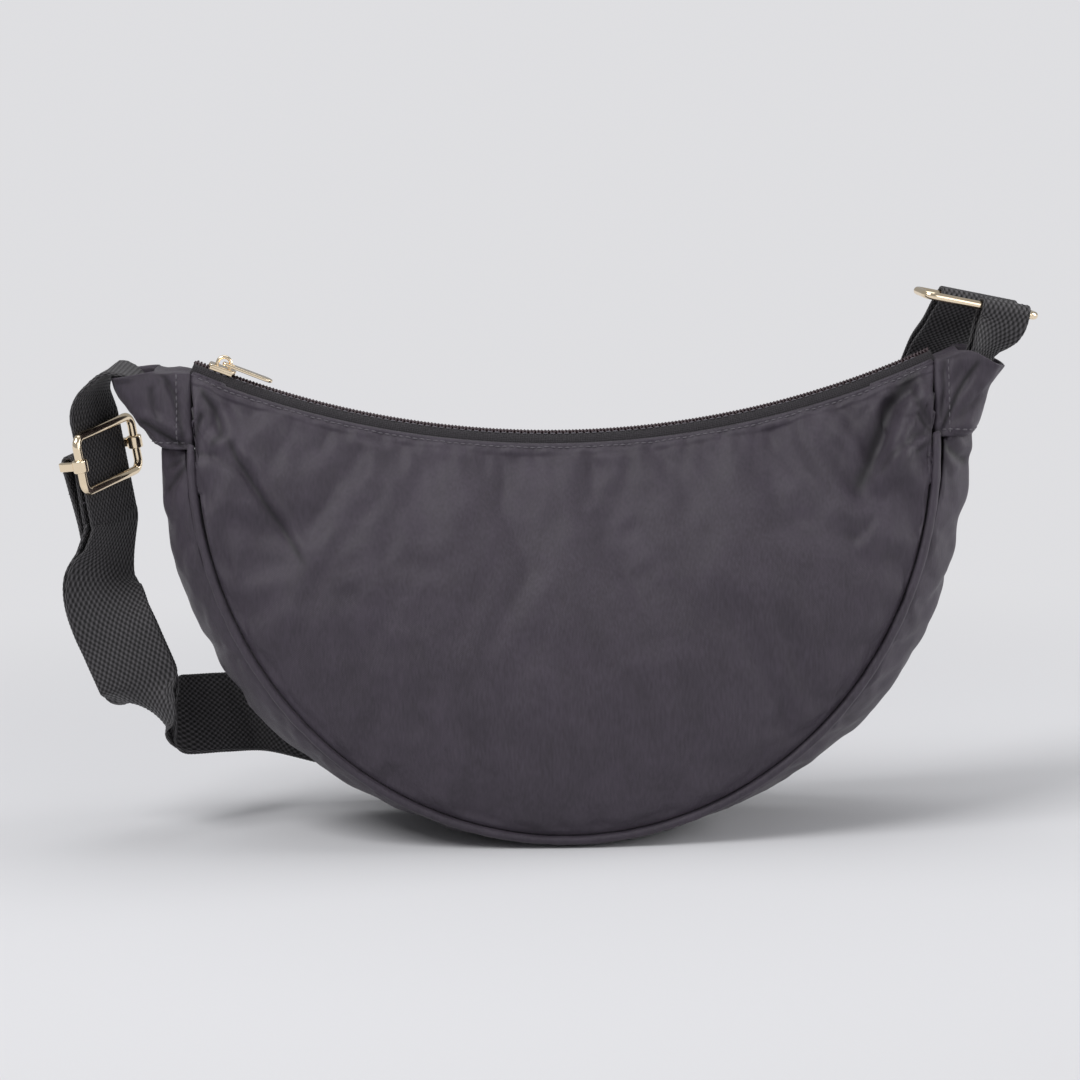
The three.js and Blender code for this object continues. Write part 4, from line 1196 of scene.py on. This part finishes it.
def build_tab(name, side, creases, seed, **form):
    """Gathered cloth over the end of the bag, open at its mouth for the webbing."""
    levels = 1 - (1 - np.linspace(0, 1, TAB_RINGS + 1)) ** 1.25
    shape = np.array([tab_ring(side, t, **form) for t in levels])
    closed = np.concatenate([shape[:, -1:], shape, shape[:, :1]], axis=1)
    normal = normals_of(closed, closed - shape.mean(axis=1, keepdims=True))[:, 1:-1]
    relief = rumpled(shape, seed, (0.35, 16), (0.14, 6))
    relief += creased(shape, creases) + puckered(shape, 2.2, 4.5, 6, seed)
    height = levels[:, None]
    off_seam = np.abs(shape[..., 0]) - SEAM_HALF_WIDTH
    relief *= ease(0, 0.06, height) * ease(0, 3.5 * MM, off_seam)
    relief -= 0.8 * MM * (1 - ease(0, 0.07, height))
    relief -= 0.4 * MM * np.exp(-((height - TAB_FOOT_ROW) / 0.02) ** 2)
    shape = shape + normal * relief[..., None]
    rings = list(shape)
    for index, inset, lift in TAB_LIP:
        ring = shape[index]
        inward = unit((ring.mean(axis=0) - ring) * [1, 1, 0])
        rings.append(ring + inward * inset * MM + [0, 0, lift * MM])
    rings = np.array(rings)
    waist = shape[TAB_RINGS // 2]
    piece = loft_piece(name + "_cloth", rings, CLOTH_FINISH,
                       lengths=along(rings[:, TAB_AROUND // 4]),
                       girth=along(np.concatenate([waist, waist[:1]])))
    paint_fold_shade(piece, shape, creases)
    attach(piece, "bag", name)

    lifted = shape + normal * TAB_STITCH_LIFT
    foot = np.array([pick(TAB_FOOT_ROW, levels, lifted[:, j]) for j in range(TAB_AROUND)])
    for face in (-1, 1):
        row = []
        for ring, points in zip(shape[3:int(TAB_RINGS * 0.86)], lifted[3:]):
            points = points[(ring[:, 1] * face > 0) & (np.abs(ring[:, 0]) < 158 * MM)]
            points = points[np.argsort(np.abs(points[:, 0]))]
            row.append(pick(TAB_SIDE_ROW_X, np.abs(points[:, 0]), points))
        STITCH_LINES.append(np.array(row))
        STITCH_LINES.append(foot[(foot[:, 1] * face > 5 * MM) & (np.abs(foot[:, 0]) > 147 * MM)])


build_tab("left_tab", -1, LEFT_TAB_CREASES, 81, foot=13.2 * MM, top_reach=30.5 * MM, fall=4 * MM,
          mouth_start=0.42, curve=lambda t: 1 - (1 - t) ** 1.6, mouth_half=18.6 * MM, crest=0.0)
build_tab("right_tab", 1, RIGHT_TAB_CREASES, 91, foot=15.6 * MM, top_reach=27.5 * MM, fall=6 * MM,
          mouth_start=0.3, curve=lambda t: t ** 1.5, mouth_half=16 * MM, crest=3.5 * MM)


# Zip

TAPE = 0.7 * MM
# The tape's section, from the coil to the panel: distance from the middle and height
TAPE_PROFILE = np.array([(2.1, 0.1), (3.2, -0.1), (4.4, -0.7), (5.4, -1.7), (6.2, -2.9),
                         (6.6, -4.2), (6.8, -6.0)]) * MM
COIL_PITCH, COIL_STEPS = 1.35 * MM, 10
COIL_WIRE, COIL_SIDES = 0.36 * MM, 5
COIL_MIDDLE, COIL_HALF_WIDTH, COIL_HALF_HEIGHT = 1.05 * MM, 0.98 * MM, 1.02 * MM


def parted(x):
    """How far each half stands off where the slider has opened the zip."""
    return 1.1 * MM * (1 - ease(-1 * MM, 4 * MM, x - ZIP_RADIUS * math.sin(SLIDER_ANGLE)))


def build_zip():
    """Two tapes, each with its stitch row and its wound coil."""
    angle = np.linspace(-ZIP_END_ANGLE, ZIP_END_ANGLE, 241)
    spread = parted(ZIP_RADIUS * np.sin(angle))
    turns = 2 * ZIP_RADIUS * ZIP_END_ANGLE / COIL_PITCH
    phase = np.arange(int(turns * COIL_STEPS)) / COIL_STEPS
    for name, side in [("front", -1), ("back", 1)]:
        grid = []
        for y, lift in TAPE_PROFILE:
            x, z = zip_place(angle, lift)
            y = y + spread * (1 - ease(2 * MM, 6 * MM, y))
            grid.append(np.stack([x, side * y, z], axis=-1))
        grid = np.array(grid)
        normal = normals_of(grid, np.array([0, 0, 1.0]))
        grid += normal * rumpled(grid, 101 + side, (0.1, 14))[..., None]
        flat = np.broadcast_arrays(along(TAPE_PROFILE)[:, None], ZIP_RADIUS * angle[None])
        tape = thick_sheet("zip_tape_" + name + "_weave", grid, normal, TAPE, TAPE_FINISH,
                           np.stack(flat, axis=-1))
        attach(tape, "bag", "zip_tape_" + name)
        x, z = zip_place(angle, 0.25 * MM)
        STITCH_LINES.append(np.stack([x, side * (3.0 * MM + spread), z], axis=-1)[6:-6])

        wind = 2 * math.pi * (phase + (0.5 if side > 0 else 0))
        x, z = zip_place(ZIP_END_ANGLE * (2 * phase / turns - 1), COIL_HALF_HEIGHT * np.sin(wind))
        y = COIL_MIDDLE + parted(x) - COIL_HALF_WIDTH * np.cos(wind)
        path = np.stack([x, side * y, z], axis=-1)
        rings = tube_rings(path, COIL_WIRE, COIL_SIDES)
        coil = loft_piece("zip_coil_" + name + "_wound", rings, COIL_FINISH)
        attach(coil, "bag", "zip_coil_" + name)


build_zip()


# Metal fittings

WELD = 1e-7
SHARP_ANGLE = math.radians(40)
PULL_HEIGHT = 4.15
BAR_HALF = 19.5 * MM
# The bar's collars and legs: places down and radii, then places inward and half widths
COLLAR_RINGS = np.array([(-2.5, 1.98), (-2.5, 2.75), (-2.2, 3.0), (2.2, 3.0), (2.5, 2.75),
                         (2.5, 1.98)]) * MM
LEG_RINGS = np.array([(2.5, 1.2), (6, 1.2), (8.2, 1.2), (9.4, 0.9)]) * MM
LEG_CORNERS = [(1, 0.75), (0.75, 1), (-0.75, 1), (-1, 0.75), (-1, -0.75), (-0.75, -1), (0.75, -1),
               (1, -0.75)]
LEG_HALF = 1.8 * MM


def flat_plate(name, outline, thickness, bevel, holes=(), lift=0.0):
    """A plate with rounded edges, level with the XY plane; all measures in mm."""
    curve = bpy.data.curves.new(name, "CURVE")
    curve.dimensions = "2D"
    curve.fill_mode = "BOTH"
    curve.extrude = (thickness / 2 - bevel) * MM
    curve.bevel_depth = bevel * MM
    curve.bevel_resolution = 3
    curve.offset = -bevel * MM
    for points in [outline, *holes]:
        spline = curve.splines.new("POLY")
        spline.points.add(len(points) - 1)
        for point, (x, y) in zip(spline.points, points):
            point.co = (x * MM, y * MM, 0, 1)
        spline.use_cyclic_u = True
    plate = plain_mesh(add_object(name, curve), name, GOLD_FINISH)
    plate.data.transform(Matrix.Translation((0, 0, lift * MM)))
    return plate


def corner_arc(x, y, radius, start, end, steps=7):
    turn = np.radians(np.linspace(start, end, steps))
    return [(x + radius * math.cos(a), y + radius * math.sin(a)) for a in turn]


def rounded_outline(x0, x1, half_left, half_right, radius):
    points = corner_arc(x1 - radius, half_right - radius, radius, 0, 90)
    points += corner_arc(x0 + radius, half_left - radius, radius, 90, 180)
    points += corner_arc(x0 + radius, radius - half_left, radius, 180, 270)
    return points + corner_arc(x1 - radius, radius - half_right, radius, 270, 360)


def join_pieces(name, pieces):
    """Several meshes as one smooth piece of gold."""
    shape = bmesh.new()
    for piece in pieces:
        shape.from_mesh(piece.data)
        bpy.data.objects.remove(piece)
    mesh = bpy.data.meshes.new(name)
    shape.to_mesh(mesh)
    shape.free()
    clean(mesh, WELD)
    mesh.materials.append(GOLD_FINISH)
    shade_smooth(mesh)
    return add_object(name, mesh)


def seat_on_zip(piece, turn, node):
    """Moves the slider or its pull to its place, with crisp edges."""
    piece.data.transform(turn)
    piece.data.set_sharp_from_angle(angle=SHARP_ANGLE)
    attach(piece, node, node)


def build_slider():
    """The slider's plates, upper rails, post and bridge, and its pull; measures in mm."""
    x, z = zip_place(SLIDER_ANGLE)
    turn = Matrix.Translation((x, 0, z)) @ Matrix.Rotation(-SLIDER_ANGLE, 4, "Y")
    plate = rounded_outline(-5.5, 5.5, 4.5, 3.9, 1.8)
    parts = [flat_plate("slider_plate", plate, 1.3, 0.3, lift=lift) for lift in (2.1, -2.3)]
    for side in (-1, 1):
        rail = [(-4.6, side * 3.6), (4.4, side * 3.3), (4.4, side * 3.9), (-4.6, side * 4.4)]
        parts.append(flat_plate("slider_rail", rail, 1.1, 0.15, lift=1.2))
    parts.append(flat_plate("slider_post", rounded_outline(-4.8, -2.6, 1.0, 0.6, 0.4), 4.0, 0.1))
    bend = np.linspace(0, math.pi, 19)
    arch = np.concatenate([
        [(2.6, 0, 2.0), (2.6, 0, 3.0)],
        np.stack([2.6 * np.cos(bend), 0 * bend, PULL_HEIGHT + 2.5 * np.sin(bend)], axis=-1),
        [(-2.6, 0, 3.0), (-2.6, 0, 2.0)],
    ]) * MM
    parts.append(loft_piece("slider_bridge", tube_rings(arch, 0.72 * MM, 12), GOLD_FINISH))
    seat_on_zip(join_pieces("zip_slider_metal", parts), turn, "zip_slider")

    outline = corner_arc(16.7, 0, 3.25, -90, 90, 15)
    outline += [(8, 3.0), (3, 2.5)] + corner_arc(0.9, 1.0, 1.5, 90, 180, 5)
    outline += corner_arc(0.9, -1.0, 1.5, 180, 270, 5) + [(3, -2.5), (8, -3.0)]
    eye = rounded_outline(0.6, 4.2, 1.4, 1.4, 0.7)
    pull = flat_plate("zip_pull_metal", outline, 1.2, 0.35, [eye], PULL_HEIGHT)
    clean(pull.data, WELD)
    seat_on_zip(pull, turn, "zip_pull")


def wire_path(centre, wide, long, span, reach, corner):
    """A closed path of four straight wires with round corners."""
    arcs = []
    for number, (a, b) in enumerate([(1, 1), (-1, 1), (-1, -1), (1, -1)]):
        arc = corner_arc(a * (span / 2 - corner), b * (reach / 2 - corner), corner,
                         90 * number, 90 * number + 90, 9)
        arcs.append([centre + wide * u + long * v for u, v in arc])
    points = []
    for arc, after in zip(arcs, arcs[1:] + arcs[:1]):
        points += arc + [lerp(arc[-1], after[0], s) for s in np.linspace(0, 1, 8)[1:-1]]
    return np.array(points)


def build_fittings():
    """The adjuster's frame, the ring and the adjuster's bar with its collars."""
    frame_path = wire_path(ADJUSTER_CENTRE, ADJUSTER_ACROSS, ADJUSTER_DOWN,
                           39 * MM, 21.6 * MM, 4 * MM)
    ring_path = wire_path(RING_CENTRE, RING_ACROSS, RING_UP, RING_SPAN, RING_SHORT, 3.5 * MM)
    for node, body, path, radius in [("adjuster_frame", "adjuster", frame_path, RAIL_RADIUS),
                                     ("ring", "ring", ring_path, RING_RADIUS)]:
        rings = tube_rings(path, radius, 18, closed=True)
        attach(loft_piece(node + "_metal", rings, GOLD_FINISH, closed=True), body, node)

    rod = np.array([at_adjuster(a, 0, BAR_DEPTH) for a in np.linspace(-BAR_HALF, BAR_HALF, 9)])
    parts = [loft_piece("bar_rod", tube_rings(rod, BAR_RADIUS, 16), GOLD_FINISH)]
    turn = np.linspace(0, 2 * math.pi, 28, endpoint=False)
    for end in (-BAR_HALF, BAR_HALF):
        collar = [[at_adjuster(end + rim * math.cos(a), down, rim * math.sin(a)) for a in turn]
                  for down, rim in COLLAR_RINGS]
        leg = [[at_adjuster(end + u * wide, v * LEG_HALF, inward) for u, v in LEG_CORNERS]
               for inward, wide in LEG_RINGS]
        parts.append(loft_piece("bar_collar", collar, GOLD_FINISH, closed=True))
        parts.append(loft_piece("bar_leg", leg, GOLD_FINISH))
    cast = join_pieces("adjuster_bar_cast", parts)
    remesh = cast.modifiers.new("cast", "REMESH")
    remesh.mode = "VOXEL"
    remesh.voxel_size = 0.24 * MM
    remesh.use_smooth_shade = True
    soften = cast.modifiers.new("soften", "SMOOTH")
    soften.factor = 0.5
    soften.iterations = 5
    bar = plain_mesh(cast, "adjuster_bar_metal", GOLD_FINISH)
    attach(bar, "adjuster_bar", "adjuster_bar")


build_slider()
build_fittings()


# Stitches

STITCH_INPUTS = {"Geometry": "Geometry", "Pitch": "Float", "Length": "Float", "Radius": "Float",
                 "Thread": "Material"}


def stitch_tree():
    """Threads laid end to end along curves: each a small capsule turned along the row."""
    group = bpy.data.node_groups.new("stitch_rows", "GeometryNodeTree")
    for name, kind in STITCH_INPUTS.items():
        group.interface.new_socket(name, in_out="INPUT", socket_type="NodeSocket" + kind)
    group.interface.new_socket("Geometry", in_out="OUTPUT", socket_type="NodeSocketGeometry")
    tree = Tree(group)
    entry = group.nodes.new("NodeGroupInput").outputs
    lines, pitch, length, radius, thread = (Value(tree, entry[name]) for name in STITCH_INPUTS)
    curve = tree.node("GeometryNodeMeshToCurve", sockets={"Mesh": lines})
    rows = tree.node("GeometryNodeResampleCurve", {"mode": "LENGTH"}, {
        "Curve": curve, "Length": pitch})
    ball = tree.node("GeometryNodeMeshUVSphere", sockets={"Segments": 8, "Rings": 6, "Radius": 1.0})
    size = tree.node("ShaderNodeCombineXYZ", sockets={"X": radius, "Y": radius, "Z": length * 0.5})
    capsule = tree.node("GeometryNodeTransform", sockets={"Geometry": ball, "Scale": size})
    tangent = tree.node("GeometryNodeInputTangent")
    turn = tree.node("FunctionNodeAlignRotationToVector", {"axis": "Z"}, {"Vector": tangent})
    placed = tree.node("GeometryNodeInstanceOnPoints", sockets={
        "Points": rows, "Instance": capsule, "Rotation": turn})
    real = tree.node("GeometryNodeRealizeInstances", sockets={"Geometry": placed})
    smooth = tree.node("GeometryNodeSetShadeSmooth", sockets={"Geometry": real})
    painted = tree.node("GeometryNodeSetMaterial", sockets={"Geometry": smooth, "Material": thread})
    tree.feed(group.nodes.new("NodeGroupOutput").inputs["Geometry"], painted)
    return group


STITCH_TREE = stitch_tree()


def sew(name, lines, pitch, length, radius):
    """Rows of stitches along lines of points."""
    points, edges = [], []
    for line in lines:
        first = len(points)
        points += [tuple(p) for p in line]
        edges += [(i, i + 1) for i in range(first, len(points) - 1)]
    mesh = bpy.data.meshes.new(name)
    mesh.from_pydata(points, edges, [])
    source = add_object(name + "_rows", mesh)
    modifier = source.modifiers.new("stitches", "NODES")
    modifier.node_group = STITCH_TREE
    values = {"Pitch": pitch, "Length": length, "Radius": radius, "Thread": THREAD_FINISH}
    for item in STITCH_TREE.interface.items_tree:
        if item.in_out == "INPUT" and item.name in values:
            modifier[item.identifier] = values[item.name]
    piece = plain_mesh(source, name, THREAD_FINISH)
    return piece


def loop_rows():
    """Two rows across each layer of the strap's sewn end."""
    middle, side, up = STRAP_LOOP
    reach = np.linspace(-14.5 * MM, 14.5 * MM, 12)[:, None]
    off = WEB_THICKNESS / 2 + 0.1 * MM
    return [middle[i] + side[i] * reach - up[i] * off for i in (2, 5, -8, -11)]


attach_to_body(sew("bag_stitches", STITCH_LINES, 2.7 * MM, 2.0 * MM, 0.32 * MM), "bag")
follow_bar(sew("strap_end_stitches", loop_rows(), 2.6 * MM, 2.1 * MM, 0.3 * MM))
